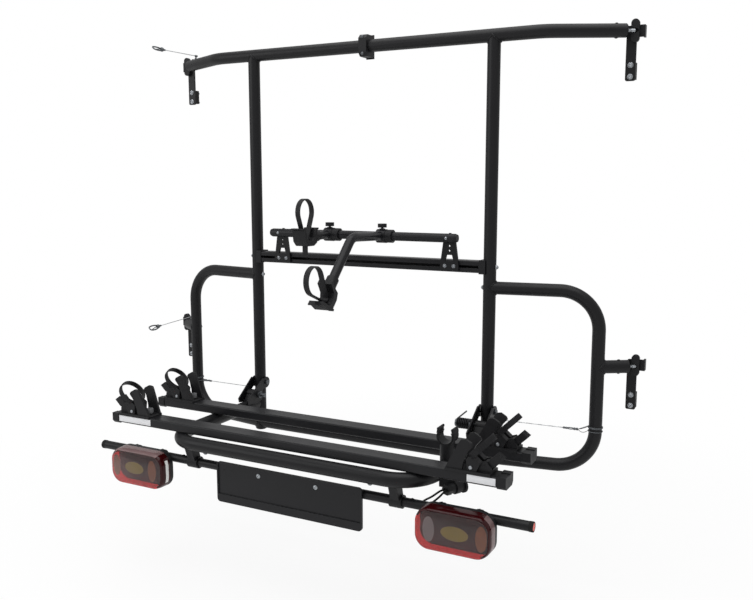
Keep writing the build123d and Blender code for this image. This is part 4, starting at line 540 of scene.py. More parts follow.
def tube_weld(bm, centre, branch, main):
    """A bead on the line where a branch tube meets a main tube of the same size."""
    radius = TUBE_R * MM
    across = branch.cross(main).normalized()
    along = across.cross(branch).normalized()
    flat_branch = branch - main * branch.dot(main)
    path = []
    for n in range(WELD_STEPS):
        turn = 2 * pi * n / WELD_STEPS
        edge = (along * cos(turn) + across * sin(turn)) * radius
        flat_edge = edge - main * edge.dot(main)
        lean = flat_edge.dot(flat_branch)
        short = flat_edge.length_squared - radius**2
        root = sqrt(max(lean * lean - flat_branch.length_squared * short, 0.0))
        reach = (root - lean) / flat_branch.length_squared
        path.append(centre + edge + branch * reach)
    bead(bm, path)


frame_welds = bmesh.new()
for side in LEFT_RIGHT:
    upright = at(side * UPRIGHT_X, UPRIGHT_Y, 0)
    leg_out = (at(side * LOOP_OUT[0], LOOP_OUT[1], 0) - upright).normalized()
    stub_foot = at(side * LOOP_OUT[0], LOOP_OUT[1], STUB_Z)
    stub_out = (at(side * STUB_OUT[0], STUB_OUT[1], STUB_Z) - stub_foot).normalized()
    tube_weld(frame_welds, upright + Z_AXIS * BEAM_Z * MM, -Z_AXIS, X_AXIS)
    tube_weld(frame_welds, upright + Z_AXIS * LOOP_TOP_Z * MM, leg_out, Z_AXIS)
    tube_weld(frame_welds, upright + Z_AXIS * LOOP_BOTTOM_Z * MM, leg_out, Z_AXIS)
    tube_weld(frame_welds, upright + Z_AXIS * LOOP_BOTTOM_Z * MM, X_AXIS * -side, Z_AXIS)
    tube_weld(frame_welds, stub_foot, stub_out, Z_AXIS)
new_piece("frame_weld_beads", frame_welds, "powder_coat", "frame")

# Screws: width and height of the head with its washer, width and length of the shank, washer's width
DOOR_SCREW = (15, 6, 8, 44, 18)
TUBE_SCREW = (14, 7, 8, 60, 17)
BRACKET_SCREW = (10, 5, 8, 20, 13)
CLAMP_SCREW = (8.4, 2.6, 7, 66, 10.6)
TRAY_SCREW = (11, 3.6, 6, 4, 15)
RAIL_SCREW = (13, 5, 8, 1, 16)
BAR_SCREW = (8, 4, 4, 3, 10)

# Form of a screw's head: thickness of its washer, how much narrower that is at the foot and on
# top, and how far up its widest edge is; then the steps of the dome and how far it narrows; then
# the hexagon socket's width, depth and tip as shares of the head, the dome and the socket
WASHER_T = 1.4
WASHER_FOOT = 0.3
WASHER_BEVEL = 0.6
WASHER_EDGE = 0.4
DOME_STEPS = (0.35, 0.7, 0.92, 1.0)
DOME_NARROWING = 0.45
SOCKET_W = 0.42
SOCKET_DEPTH = 0.75
SOCKET_TIP_DEPTH = 0.95
SOCKET_TIP_R = 0.12


def head(bm, seat, axis, sizes):
    """A screw seen from its head: washer, domed head with a hexagon socket, and shank."""
    head_d, head_t, shank_d, shank, washer_d = sizes
    out = -axis
    washer_t = WASHER_T * MM
    rings = [
        ring(seat + axis * shank * MM, out, shank_d / 2 * MM),
        ring(seat, out, shank_d / 2 * MM),
        ring(seat, out, (washer_d / 2 - WASHER_FOOT) * MM),
        ring(seat + out * washer_t * WASHER_EDGE, out, washer_d / 2 * MM),
        ring(seat + out * washer_t, out, (washer_d / 2 - WASHER_BEVEL) * MM),
        ring(seat + out * washer_t, out, head_d / 2 * MM),
    ]
    dome = (head_t - WASHER_T) * MM
    for step in DOME_STEPS:
        shrink = 1 - DOME_NARROWING * step**2
        rings.append(ring(seat + out * (washer_t + dome * step), out, head_d / 2 * shrink * MM))
    top = seat + out * (washer_t + dome)
    socket = head_d * SOCKET_W * MM
    rings.append(hexagon(top, out, socket))
    rings.append(hexagon(top + axis * dome * SOCKET_DEPTH, out, socket))
    rings.append(ring(top + axis * dome * SOCKET_TIP_DEPTH, out, socket * SOCKET_TIP_R))
    skin(bm, rings)


# Form of a nut: height of its flats as a share of its thickness, then radii of its face and of the
# bolt's foot and end as shares of its width, and how far the bolt stands out
NUT_FLATS = 0.8
NUT_FACE_R = 0.46
BOLT_FOOT_R = 0.28
BOLT_END_R = 0.26
BOLT_END_OUT = 2.2


def nut(bm, place, axis, flats, thick):
    """A hexagon nut with a chamfered face and the bolt's end in it, standing on place along axis."""
    rings = [
        hexagon(place, axis, flats * MM),
        hexagon(place + axis * thick * NUT_FLATS * MM, axis, flats * MM),
        ring(place + axis * thick * MM, axis, flats * NUT_FACE_R * MM),
        ring(place + axis * thick * MM, axis, flats * BOLT_FOOT_R * MM),
        ring(place + axis * (thick + BOLT_END_OUT) * MM, axis, flats * BOLT_END_R * MM),
    ]
    skin(bm, rings)


# Screws of the door straps, with each strap's place across and its upper end
DOOR_STRAPS = ((862.6, BEAM_Z), (907.0, LOWER_BRACKET_Z))
STRAP_FACE_Y = -26.0 - SEAT_GAP
STRAP_SCREW_DROPS = (101.0, 136.0)

# Screws through the uprights, and in pairs through the feet of the holder bar's brackets
TUBE_SCREW_OUT = TUBE_R + SEAT_GAP
BRACKET_X = 331.0
BRACKET_SCREW_X = 16.0
frame_bolts = bmesh.new()
for side in LEFT_RIGHT:
    for strap_x, end_z in DOOR_STRAPS:
        for drop in STRAP_SCREW_DROPS:
            head(frame_bolts, at(side * strap_x, STRAP_FACE_Y, end_z - drop), Y_AXIS, DOOR_SCREW)
    inner_seat = at(side * (UPRIGHT_X - TUBE_SCREW_OUT), UPRIGHT_Y, LOOP_TOP_Z)
    outer_seat = at(side * (UPRIGHT_X + TUBE_SCREW_OUT), UPRIGHT_Y, CROSSBAR_Z)
    head(frame_bolts, inner_seat, X_AXIS * side, TUBE_SCREW)
    head(frame_bolts, outer_seat, X_AXIS * -side, TUBE_SCREW)
    for offset in (-BRACKET_SCREW_X, BRACKET_SCREW_X):
        seat = at(side * BRACKET_X + offset, CROSSBAR_FACE_Y, CROSSBAR_Z)
        head(frame_bolts, seat, Y_AXIS, BRACKET_SCREW)
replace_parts(new_piece("frame_bolts", frame_bolts, "zinc_steel", "frame"), "frame_screws")

# Socket screws of the centre clamp, low and dull, with nuts behind
CLAMP_X = 4.0
CLAMP_SCREW_Z = 27.5
CLAMP_FRONT_Y = -184.3
CLAMP_BACK_Y = -121.7
CLAMP_NUT_W = 12
CLAMP_NUT_T = 5
clamp_screws = bmesh.new()
for offset in (-CLAMP_SCREW_Z, CLAMP_SCREW_Z):
    head(clamp_screws, at(CLAMP_X, CLAMP_FRONT_Y, BEAM_Z + offset), Y_AXIS, CLAMP_SCREW)
    nut(clamp_screws, at(CLAMP_X, CLAMP_BACK_Y, BEAM_Z + offset), Y_AXIS, CLAMP_NUT_W, CLAMP_NUT_T)
new_piece("clamp_screws", clamp_screws, "zinc_steel", "frame", [GALVANISED_STEEL])

# Screws of the number plate tray, and the bolts under the platform's tubes
TRAY_SCREW_X = 105.0
UNDER_BOLTS = ((UPRIGHT_X, REAR_RAIL_Y), (300, -694.0))
platform_bolts = bmesh.new()
for side in LEFT_RIGHT:
    tray_seat = at(side * TRAY_SCREW_X, TRAY_FLOOR_Y - SEAT_GAP, LIGHT_BAR_Z)
    head(platform_bolts, tray_seat, Y_AXIS, TRAY_SCREW)
    for bolt_x, bolt_y in UNDER_BOLTS:
        seat = at(side * bolt_x, bolt_y, FRAME_TUBE_Z - FRAME_TUBE_R - SEAT_GAP)
        head(platform_bolts, seat, Z_AXIS, RAIL_SCREW)
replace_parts(new_piece("platform_bolts", platform_bolts, "zinc_steel", "platform"), "platform_screws")


def slab(bm, low, high, bevel_mm):
    """A box between two corners with rounded edges."""
    made = bmesh.ops.create_cube(bm, size=1.0)["verts"]
    for vert in made:
        share = vert.co + Vector((0.5, 0.5, 0.5))
        vert.co = Vector([low[n] + (high[n] - low[n]) * share[n] for n in range(3)])
    edges = list({edge for vert in made for edge in vert.link_edges})
    bmesh.ops.bevel(bm, geom=edges, offset=bevel_mm * MM, segments=2, affect="EDGES", profile=0.5)


# Bare white reflective strips on the flat front of the front rail: where they start and end, how
# far they stand out of the rail and are sunk into it, how far below its top they start and end,
# and how round their edges are
STRIPS = ((591, 674), (-686, -546))
STRIP_OUT = 0.4
STRIP_SUNK = 0.1
STRIP_TOP = 4.0
STRIP_FOOT = 25.0
STRIP_EDGE = 0.15
strips = bmesh.new()
for x_from, x_to in STRIPS:
    low = at(x_from, FRONT_RAIL_Y - RAIL_FACE_OUT - STRIP_OUT, RAIL_TOP_Z - STRIP_FOOT)
    high = at(x_to, FRONT_RAIL_Y - RAIL_FACE_OUT + STRIP_SUNK, RAIL_TOP_Z - STRIP_TOP)
    slab(strips, low, high, STRIP_EDGE)
new_piece("rail_marker_strips", strips, "red_reflector", "platform", [REFLECTIVE_FILM])


# Corners of a rectangle in turn, and the steps round each rounded one
CORNERS = ((1, 1), (-1, 1), (-1, -1), (1, -1))
CORNER_STEPS = 10


def rounded_outline(width, height, corner, place):
    """Points of an upright rounded rectangle round a place, and the way each looks out from it."""
    points, looks = [], []
    for quarter, (across, up) in enumerate(CORNERS):
        for step in range(CORNER_STEPS + 1):
            turn = (quarter + step / CORNER_STEPS) * pi / 2
            x = across * (width / 2 - corner) + corner * cos(turn)
            z = up * (height / 2 - corner) + corner * sin(turn)
            points.append(place + at(x, 0, z))
            looks.append((cos(turn), sin(turn)))
    return points, looks


# Rings of the lens from its back edge forward: depth, and how much narrower it is there
LENS_RINGS = ((0, 0), (7, 0), (20, 0.5), (26, 1), (36, 3), (39, 5), (LENS_T, 7))
# Beyond this depth the inner wall also lies back by the wall's thickness
LENS_FRONT_DEPTH = 25.0
# A face belongs to the end or the top of the lens if it looks that way by more than this share
LOOKS_THERE = 0.5
# Rows of faces are counted from the back edge
WINDOW_ROW = 1
WINDOW_HALF_H = 37.0
# Back rows of the right lamp's outer end that get painted light; its other end faces get painted shade
PAINTED_LIGHT_ROWS = 3


def lens_finish_number(side, row, across, up, height):
    """The finish of a face of the lens, by its row and the way it looks out from the lamp's middle. Apart
    from the window, top and end faces get the dark copy of the acrylic as painted shade or the pale copy as
    painted light, each by lamp and row; all other faces are red.
    """
    if across > LOOKS_THERE:
        if side < 0 and row == WINDOW_ROW and abs(height) < WINDOW_HALF_H:
            return WINDOW
        return RIM_PAINTED_LIGHT if side > 0 and row < PAINTED_LIGHT_ROWS else RIM_PAINTED_SHADE
    if up > LOOKS_THERE:
        return RIM_PAINTED_LIGHT if side < 0 else RIM_PAINTED_SHADE
    return RIM_RED


# Lens shells: one closed wall for each lamp, joined at the back edge
lenses = bmesh.new()
for side in LEFT_RIGHT:
    back_edges = []
    for inset in (0, LENS_WALL):
        rows = []
        for depth, narrower in LENS_RINGS:
            behind = inset if depth > LENS_FRONT_DEPTH else 0
            place = at(side * LAMP_X, LENS_BACK_Y - depth + behind, LAMP_Z)
            less = narrower + inset
            size = (LAMP_W - 2 * less, LAMP_H - 2 * less, LAMP_CORNER - less)
            points, looks = rounded_outline(*size, place)
            rows.append([lenses.verts.new(point) for point in points])
        for row, (low, high) in enumerate(zip(rows, rows[1:])):
            for n in range(len(low)):
                m = (n + 1) % len(low)
                face = lenses.faces.new((low[n], low[m], high[m], high[n]))
                across, up = [(looks[n][axis] + looks[m][axis]) / 2 for axis in (0, 1)]
                height = (low[n].co.z + low[m].co.z) / 2 / MM - LAMP_Z
                face.material_index = lens_finish_number(side, row, across, up, height)
        lenses.faces.new(rows[-1])
        back_edges.append(rows[0])
    for n in range(len(back_edges[0])):
        m = (n + 1) % len(back_edges[0])
        lenses.faces.new((back_edges[0][n], back_edges[0][m], back_edges[1][m], back_edges[1][n]))
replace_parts(new_piece("lamp_lens_shells", lenses, "lamp_red", "platform", LENS_FINISHES), "lamp_lenses")

# Reflector plates: the dark mask deep inside each lamp, narrower than the lens
PLATE_W = 207.0
PLATE_H = 102.0
PLATE_CORNER = 36.0
PLATE_LIFT = 2.0
PLATE_FRONT_Y = -700.0
PLATE_BACK_IN = 0.4
PLATE_EDGE = 1.5
plates = bmesh.new()
for side in LEFT_RIGHT:
    outlines = []
    plate_back_y = LENS_BACK_Y - PLATE_BACK_IN
    for y, less in ((plate_back_y, 0), (PLATE_FRONT_Y + PLATE_EDGE, 0), (PLATE_FRONT_Y, PLATE_EDGE)):
        size = (PLATE_W - 2 * less, PLATE_H - 2 * less, PLATE_CORNER - less)
        middle = at(side * LAMP_X, y, LAMP_Z + PLATE_LIFT)
        outlines.append(rounded_outline(*size, middle)[0])
    skin(plates, outlines)
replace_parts(new_piece("lamp_reflector_plates", plates, "lamp_reflector", "platform"), "lamp_inserts")

# Lamp cells: three oval optics behind each lens front, as low domes. The group stands further out
# than the lamp's middle, a thin dark line is left between the ovals, and CELL_CLEAR keeps them off
# the lens
CELL_OUTWARD = 9.0
CELL_LIFT = 1.5
CELL_GAP = 0.4
CELL_CLEAR = 0.1
CELL_Y = LENS_BACK_Y - LENS_T + LENS_WALL + CELL_CLEAR
CELL_DOME = 3.0
CELL_STEPS = 8
CELL_SIDES = 48
CELL_TIP = 0.02
# Place across, half width, half height and colour of each
LAMP_CELLS = {
    "left": ((-77, 17, 37, "brown"), (0, 41, 21, "amber"), (77, 18, 37, "brown")),
    "right": ((-77, 18, 37, "clear"), (0, 41, 21, "amber"), (77, 17, 37, "brown")),
}
for side, name in SIDES:
    for number, (across, half_w, half_h, colour) in enumerate(LAMP_CELLS[name], start=1):
        dome = bmesh.new()
        rings = []
        for step in range(CELL_STEPS + 1):
            angle = step / CELL_STEPS * pi / 2
            middle_x = side * (LAMP_X + CELL_OUTWARD) + across
            middle = at(middle_x, CELL_Y + CELL_DOME * sin(angle), LAMP_Z + CELL_LIFT)
            shrink = max(cos(angle), CELL_TIP)
            width = (half_w - CELL_GAP) * shrink * MM
            height = (half_h - CELL_GAP) * shrink * MM
            turns = [2 * pi * n / CELL_SIDES for n in range(CELL_SIDES)]
            rings.append([middle + X_AXIS * width * cos(t) + Z_AXIS * height * sin(t) for t in turns])
        skin(dome, rings)
        piece_name = f"lamp_cell_{name}_{number}"
        new_piece(piece_name, dome, "lamp_reflector", "platform", [CELL_COLOURS[colour]])

# Each tube end at the doors: its tip and the direction it points in
TUBE_ENDS = ((BEAM_TIP, BEAM_TURN, BEAM_Z), (STUB_OUT, STUB_TURN, STUB_Z))
DOOR_TIPS = []
for side in LEFT_RIGHT:
    for (tip_x, tip_y), turn, tip_z in TUBE_ENDS:
        outward = Vector((side * cos(radians(turn)), sin(radians(turn)), 0))
        DOOR_TIPS.append((at(side * tip_x, tip_y, tip_z), outward))

# Eye bolts: a flared collar against the tube's cap, then a turned rod with a neck
BOLT_COLLAR = ((3.3, 7.4), (5.5, 7.4), (10, 5.2), (12, 5.0))
BOLT_NECK = ((12.6, 3.9), (14.4, 3.9))
BOLT_ROD = ((15, 6.0), (26, 6.0), (27.3, 4.8))
eye_rods = bmesh.new()
for tip, outward in DOOR_TIPS:
    lathe(eye_rods, tip, outward, BOLT_COLLAR + BOLT_NECK + BOLT_ROD)
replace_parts(new_piece("eye_bolt_rods", eye_rods, "zinc_steel", "frame"), "eye_bolts")

# Black dome rivets over and under each tube end and on the holder bar, and a plugged hole in the
# front of each tube end. RIVET_BACK and PLUG_BACK are counted from the tube's tip
RIVET_DOME = ((-1, 5.2), (0.3, 5.2), (1.4, 4.4), (2.3, 2.8), (2.6, 0.8))
HOLE_PLUG = ((-1, 3), (0.2, 3), (0.5, 2.2))
RIVET_BACK = 30.0
PLUG_BACK = 58.0
BAR_RIVET_X = 327.0
BAR_RIVET_SHIFT = 13.0
end_rivets = bmesh.new()
for tip, outward in DOOR_TIPS:
    for lift in (-1, 1):
        seat = tip - outward * RIVET_BACK * MM + Z_AXIS * lift * TUBE_R * MM
        lathe(end_rivets, seat, Z_AXIS * lift, RIVET_DOME)
    front = Vector((outward.y, -outward.x, 0)) * (1 if outward.x > 0 else -1)
    lathe(end_rivets, tip - outward * PLUG_BACK * MM + front * TUBE_R * MM, front, HOLE_PLUG)
for side in LEFT_RIGHT:
    seat = at(side * BAR_RIVET_X + BAR_RIVET_SHIFT, HOLDER_BAR_Y, HOLDER_BAR_Z + HOLDER_BAR_R)
    lathe(end_rivets, seat, Z_AXIS, RIVET_DOME)
new_piece("frame_rivets", end_rivets, "powder_coat", "frame")

# Bright screws in the front of the holder bar, above its brackets and sunk a little into it
BAR_SCREW_X = 330.0
BAR_SCREW_SUNK = 0.3
bar_screws = bmesh.new()
for side in LEFT_RIGHT:
    seat = at(side * BAR_SCREW_X, HOLDER_BAR_Y - HOLDER_BAR_R + BAR_SCREW_SUNK, HOLDER_BAR_Z)
    head(bar_screws, seat, Y_AXIS, BAR_SCREW)
new_piece("holder_bar_screws", bar_screws, "zinc_steel", "frame")

# Each wheel holder: its side of the carrier, the side's name, its rail's name and place
RAILS = (("front", FRONT_RAIL_Y), ("rear", REAR_RAIL_Y))
WHEEL_HOLDERS = [(*side_and_name, *rail) for side_and_name in SIDES for rail in RAILS]


def on_holder(side, name, rail_y, place):
    """A place on a wheel holder, counted outward, backward and up from its inner end on the rail."""
    out, back, up = place
    return at(side * (HOLDER_INNER[name] + out), rail_y + back, RAIL_TOP_Z + up)


# Wheel holders: bright bolt caps on the strap blocks and fluted grey grips on the clamp knobs
CAP_PLACE = (76.0, -30.3, 16.0)
BOLT_CAP = ((-0.4, 5.4), (1.8, 5.4), (3.0, 4.4), (3.4, 2.6), (2.6, 2.2), (2.6, 0.5))
KNOB_PLACE = (22.0, 0.0, 6.0)
KNOB_R = 11.4
KNOB_GRIP = ((4.5, 10.8), (6, KNOB_R), (18, KNOB_R), (20.2, 10.2), (20.8, 6), (19.9, 5.5), (19.9, 1))
KNOB_SIDES = 48
FLUTES = 12
FLUTE_DEPTH = 0.06
# The flutes are cut where the grip's radius is within this of its full one
FLUTE_REACH = 0.3
for side, name, rail_name, rail_y in WHEEL_HOLDERS:
    body = f"holder_{name}_{rail_name}"
    caps = bmesh.new()
    lathe(caps, on_holder(side, name, rail_y, CAP_PLACE), -Y_AXIS, BOLT_CAP)
    new_piece(f"bolt_cap_{name}_{rail_name}", caps, "zinc_steel", body)
    grip = bmesh.new()
    knob_foot = on_holder(side, name, rail_y, KNOB_PLACE)
    lathe(grip, knob_foot, Z_AXIS, KNOB_GRIP, KNOB_SIDES)
    for vert in grip.verts:
        spoke = vert.co - knob_foot
        flat_spoke = Vector((spoke.x, spoke.y, 0))
        if abs(flat_spoke.length - KNOB_R * MM) < FLUTE_REACH * MM:
            flute = (1 + cos(FLUTES * atan2(spoke.y, spoke.x))) / 2
            vert.co = knob_foot + flat_spoke * (1 - FLUTE_DEPTH * flute) + Z_AXIS * spoke.z
    new_piece(f"knob_grip_{name}_{rail_name}", grip, "black_plastic", body, [GREY_NYLON])

# Straps: cross ribs round the outside of each hoop, wide at the foot and narrower on top
HOOP_PLACE = (100.0, 0.0, 71.0)
HOOP_R = 45.0
RIB_COUNT = 44
RIB_SUNK = 0.2
RIB_HALF_LENGTH = 7.0
RIB_FORM = ((0, 1.3), (1.0, 0.9))
for side, name, rail_name, rail_y in WHEEL_HOLDERS:
    middle = on_holder(side, name, rail_y, HOOP_PLACE)
    wide = Vector((side, 0, -1)).normalized()
    high = wide.cross(Y_AXIS).normalized()
    ribs = bmesh.new()
    for n in range(RIB_COUNT):
        turn = 2 * pi * n / RIB_COUNT
        spoke = Y_AXIS * cos(turn) + high * sin(turn)
        round_way = Y_AXIS * -sin(turn) + high * cos(turn)
        foot = middle + spoke * (HOOP_R - RIB_SUNK) * MM
        rings = []
        for lift, half in RIB_FORM:
            base = foot + spoke * lift * MM
            half_way = round_way * half * MM
            half_length = wide * RIB_HALF_LENGTH * MM
            rings.append([base + half_way * a + half_length * b for a, b in CORNERS])
        skin(ribs, rings)
    new_piece(f"strap_ribs_{name}_{rail_name}", ribs, "black_plastic", f"holder_{name}_{rail_name}")

# Tray: four small plate holes with pressed edges, drawn as shallow near-black dishes of painted shade
TRAY_HOLES_X = (-237, -206, 206, 237)
PRESSED_HOLE = ((-0.5, 3.4), (0.15, 3.4), (0.35, 2.8), (0.05, 2.2), (0.05, 0.4))
tray_holes = bmesh.new()
for hole_x in TRAY_HOLES_X:
    lathe(tray_holes, at(hole_x, TRAY_FLOOR_Y, LIGHT_BAR_Z), -Y_AXIS, PRESSED_HOLE)
new_piece("plate_holes", tray_holes, "black_plastic", "platform", [HOLE_PAINTED_SHADE])

# Light bar: a ring round each end reflector, screws on the lamps' clips, a rivet at each side and
# a grommet where each lead goes in; the last two are sunk a little into the bar
BAR_END_X = 773.3
BAR_SINK = 0.4
END_RING = ((-6, 14.1), (-6, 14.7), (5.2, 14.7), (6.2, 13.8), (6.2, 11), (5.9, 11), (5.9, 14.1))
END_RING_SIDES = 36
CLIP_SCREW_X = LAMP_W / 4
CLIP_TOP = 20.0
CLIP_SCREW = ((-0.5, 4), (0.5, 4), (1.6, 3.4), (2.1, 2.2), (2.2, 0.6))
BAR_TOP_RIVET_X = 420.0
LEAD_HOLES_X = (440, 468)
GROMMET = ((0, 3.1), (0, 6), (2, 6), (4, 4.6), (12, 4.0), (12, 3.1))
bar_fittings = bmesh.new()
for side in LEFT_RIGHT:
    end = at(side * BAR_END_X, LIGHT_BAR_Y, LIGHT_BAR_Z)
    lathe(bar_fittings, end, X_AXIS * side, END_RING, END_RING_SIDES, looped=True)
    for clip_side in LEFT_RIGHT:
        seat = at(side * LAMP_X + clip_side * CLIP_SCREW_X, LIGHT_BAR_Y, LIGHT_BAR_Z + CLIP_TOP)
        lathe(bar_fittings, seat, Z_AXIS, CLIP_SCREW)
    rivet_seat = at(side * BAR_TOP_RIVET_X, LIGHT_BAR_Y, LIGHT_BAR_Z + LIGHT_BAR_R - BAR_SINK)
    lathe(bar_fittings, rivet_seat, Z_AXIS, RIVET_DOME)
for lead_x in LEAD_HOLES_X:
    seat = at(lead_x, LIGHT_BAR_Y + LIGHT_BAR_R - BAR_SINK, LIGHT_BAR_Z)
    lathe(bar_fittings, seat, Y_AXIS, GROMMET, looped=True)
new_piece("light_bar_fittings", bar_fittings, "black_rubber", "platform")

# Steel wires: start, end, foot of the eyelet post on the frame, and the side of the loop that the
# far end is lashed to; the wires without a loop end in a snap hook
WIRES = (
    ((-800, -75, 1195.5), (-800, -249, 1193.5), (-800, -71.5, 1184), None),
    ((-870, -70, 148.5), (-870, -249, 139.5), (-870, -66, 137), None),
    ((503, -180, -78.5), (720, -142, -86.5), (491.5, -182, -78.5), 1),
    ((-503, -180, -80.5), (-720, -132, -94.5), (-491.5, -182, -80.5), -1),
)
WIRE_R = 1.5
WIRE_STEPS = 90
WIRE_SIDES = 24
WIRE_STRANDS = 6
WIRE_LAY = 16.0

# Crimps at both ends of a wire, pressed in twice, and the distance from a crimp to what it holds
CRIMP = ((-2, 2.2), (0, 3.5), (4, 3.5), (4.6, 2.9), (6.4, 2.9), (7, 3.5), (12, 3.5), (13.7, 2.2))
CRIMP_LENGTH = 13.5
POST_BACK = 5.0
POST_FOOT = ((0, 5), (1.2, 5), (2, 3))
POST_R = 3.0
POST_TIP = (3.4, 2.4)

# Snap hooks: the swivel, then the loop of wire with its gate, which hangs tilted. The hook gets
# wider to its far end, so its taper is negative; the gate's ends are given along and across it
SWIVEL = ((-4, 3), (-2, 6.5), (2, 8), (6, 8), (9, 6), (10, 3))
HOOK_TILT = radians(40)
HOOK_MIDDLE = 26.0
HOOK_HALF_LENGTH = 24.0
HOOK_HALF_WIDTH = 9.0
HOOK_TAPER = -0.3
HOOK_WIRE_R = 2.6
GATE_FROM = (12.0, 1.5)
GATE_TO = (44.0, -7.0)
GATE_R = 1.7
GATE_STEPS = 8

# Lashings: a wire eye, a clamp, and three cords to the loop's leg with turns round it. Cords are
# given by how far up they end and by their sag, turns by how far up they lie
EYE_HALF_LENGTH = 9.0
EYE_HALF_WIDTH = 8.0
EYE_WIRE_R = 1.7
CORD_CLAMP = ((0, 2.4), (1, 4.4), (6, 4.4), (6.8, 3.2), (9, 3.2), (9.8, 4.4), (14, 4.4), (15, 2.4))
CORD_CLAMP_FROM = 18.0
CORD_CLAMP_LENGTH = 14.0
CORDS = ((6, 0), (4, 1.5), (-8, 9))
CORD_R = 1.1
CORD_STEPS = 24
CORD_SIDES = 12
CORD_STRANDS = 3
CORD_LAY = 12.0
CORD_TURNS = (6, 3.2, -8)
CORD_TURN_R = 1.4
CORD_TURN_OUT = 1.5
CORD_TURN_STEPS = 48

# Hooks and eyes: steps round their path, and a power under 1 that makes the path fuller than an oval
STADIUM_STEPS = 40
STADIUM_FULLNESS = 0.7
fittings = bmesh.new()


def stadium(middle, along, across, half_length, half_width, taper):
    """A closed path with two round ends; the far end is narrower by the share taper."""
    path = []
    for n in range(STADIUM_STEPS):
        turn = 2 * pi * n / STADIUM_STEPS
        reach = cos(turn) * half_length
        spread = abs(sin(turn)) ** STADIUM_FULLNESS * half_width * (1 - taper * (1 + cos(turn)) / 2)
        path.append(middle + (along * reach + across * (spread if sin(turn) >= 0 else -spread)) * MM)
    return path


def eyelet_post(start, heading, foot):
    """The post on the frame that carries a wire's first crimp."""
    post_top = start - heading * POST_BACK * MM
    height = (post_top - foot).length / MM
    lean = (post_top - foot).normalized()
    tip_height, tip_r = POST_TIP
    lathe(fittings, foot, lean, (*POST_FOOT, (height, POST_R), (height + tip_height, tip_r)))


def snap_hook(far, heading, across):
    """A swivel with a closed hook and its sprung gate, tilted round the wire's direction."""
    lathe(fittings, far, heading, SWIVEL)
    tilted = across * cos(HOOK_TILT) + Z_AXIS * sin(HOOK_TILT)
    middle = far + heading * HOOK_MIDDLE * MM
    hook = stadium(middle, heading, tilted, HOOK_HALF_LENGTH, HOOK_HALF_WIDTH, HOOK_TAPER)
    rod(fittings, hook, HOOK_WIRE_R * MM, heading.cross(tilted), closed=True)
    gate_from, gate_to = [far + (heading * a + tilted * b) * MM for a, b in (GATE_FROM, GATE_TO)]
    rod(fittings, line(gate_from, gate_to, GATE_STEPS), GATE_R * MM, Z_AXIS)


def lashing(far, heading, across, leg_side):
    """A wire eye, a clamp on it, and cords that are bound round the leg of a side loop."""
    eye_middle = far + heading * EYE_HALF_LENGTH * MM
    eye = stadium(eye_middle, heading, across, EYE_HALF_LENGTH, EYE_HALF_WIDTH, 0.0)
    rod(fittings, eye, EYE_WIRE_R * MM, Z_AXIS, closed=True)
    clamp_at = far + heading * CORD_CLAMP_FROM * MM
    lathe(fittings, clamp_at, heading, CORD_CLAMP)
    leg = at(leg_side * LOOP_OUT[0], LOOP_OUT[1], 0)
    cords_from = clamp_at + heading * CORD_CLAMP_LENGTH * MM
    for lift, sag in CORDS:
        level = Z_AXIS * (cords_from.z + lift * MM)
        cords_to = leg + level - X_AXIS * leg_side * (TUBE_R + CORD_TURN_R) * MM
        path = line(cords_from, cords_to, CORD_STEPS)
        for n, point in enumerate(path):
            share = n / (CORD_STEPS - 1)
            point.z -= sag * MM * 4 * share * (1 - share)
        rod(
            fittings,
            path,
            CORD_R * MM,
            Z_AXIS,
            sides=CORD_SIDES,
            strands=CORD_STRANDS,
            lay=CORD_LAY * MM,
        )
    for lift in CORD_TURNS:
        level = Z_AXIS * (cords_from.z + lift * MM)
        path = ring(leg + level, Z_AXIS, (TUBE_R + CORD_TURN_OUT) * MM, CORD_TURN_STEPS)
        rod(fittings, path, CORD_TURN_R * MM, Z_AXIS, closed=True)


for number, (wire_from, wire_to, post_foot, leg_side) in enumerate(WIRES, start=1):
    start, end = at(*wire_from), at(*wire_to)
    heading = (end - start).normalized()
    across = heading.cross(Z_AXIS).normalized()
    strand = bmesh.new()
    rod(
        strand,
        line(start, end, WIRE_STEPS),
        WIRE_R * MM,
        Z_AXIS,
        sides=WIRE_SIDES,
        strands=WIRE_STRANDS,
        lay=WIRE_LAY * MM,
    )
    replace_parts(new_piece(f"wire_strand_{number}", strand, "wire_steel", "frame"), f"safety_wire_{number}")
    lathe(fittings, start, -heading, CRIMP)
    eyelet_post(start, heading, at(*post_foot))
    lathe(fittings, end, heading, CRIMP)
    far = end + heading * CRIMP_LENGTH * MM
    if leg_side is None:
        snap_hook(far, heading, across)
    else:
        lashing(far, heading, across, leg_side)
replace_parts(new_piece("wire_fittings", fittings, "zinc_steel", "frame", [GALVANISED_STEEL]), "snap_hooks")


def cord_curve(name, points, diameter, slot, body):
    """A round cord along a smooth line guided by a few points."""
    curve = bpy.data.curves.new(name, "CURVE")
    curve.dimensions = "3D"
    curve.bevel_depth = diameter / 2 * MM
    curve.bevel_resolution = 4
    curve.resolution_u = 16
    curve.use_fill_caps = True
    spline = curve.splines.new("NURBS")
    spline.points.add(len(points) - 1)
    for point, place in zip(spline.points, points):
        point.co = (*at(*place), 1.0)
    spline.order_u = 3
    spline.use_endpoint_u = True
    curve.materials.append(FINISHES[slot])
    piece = bpy.data.objects.new(name, curve)
    bpy.context.scene.collection.objects.link(piece)
    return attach(piece, body)


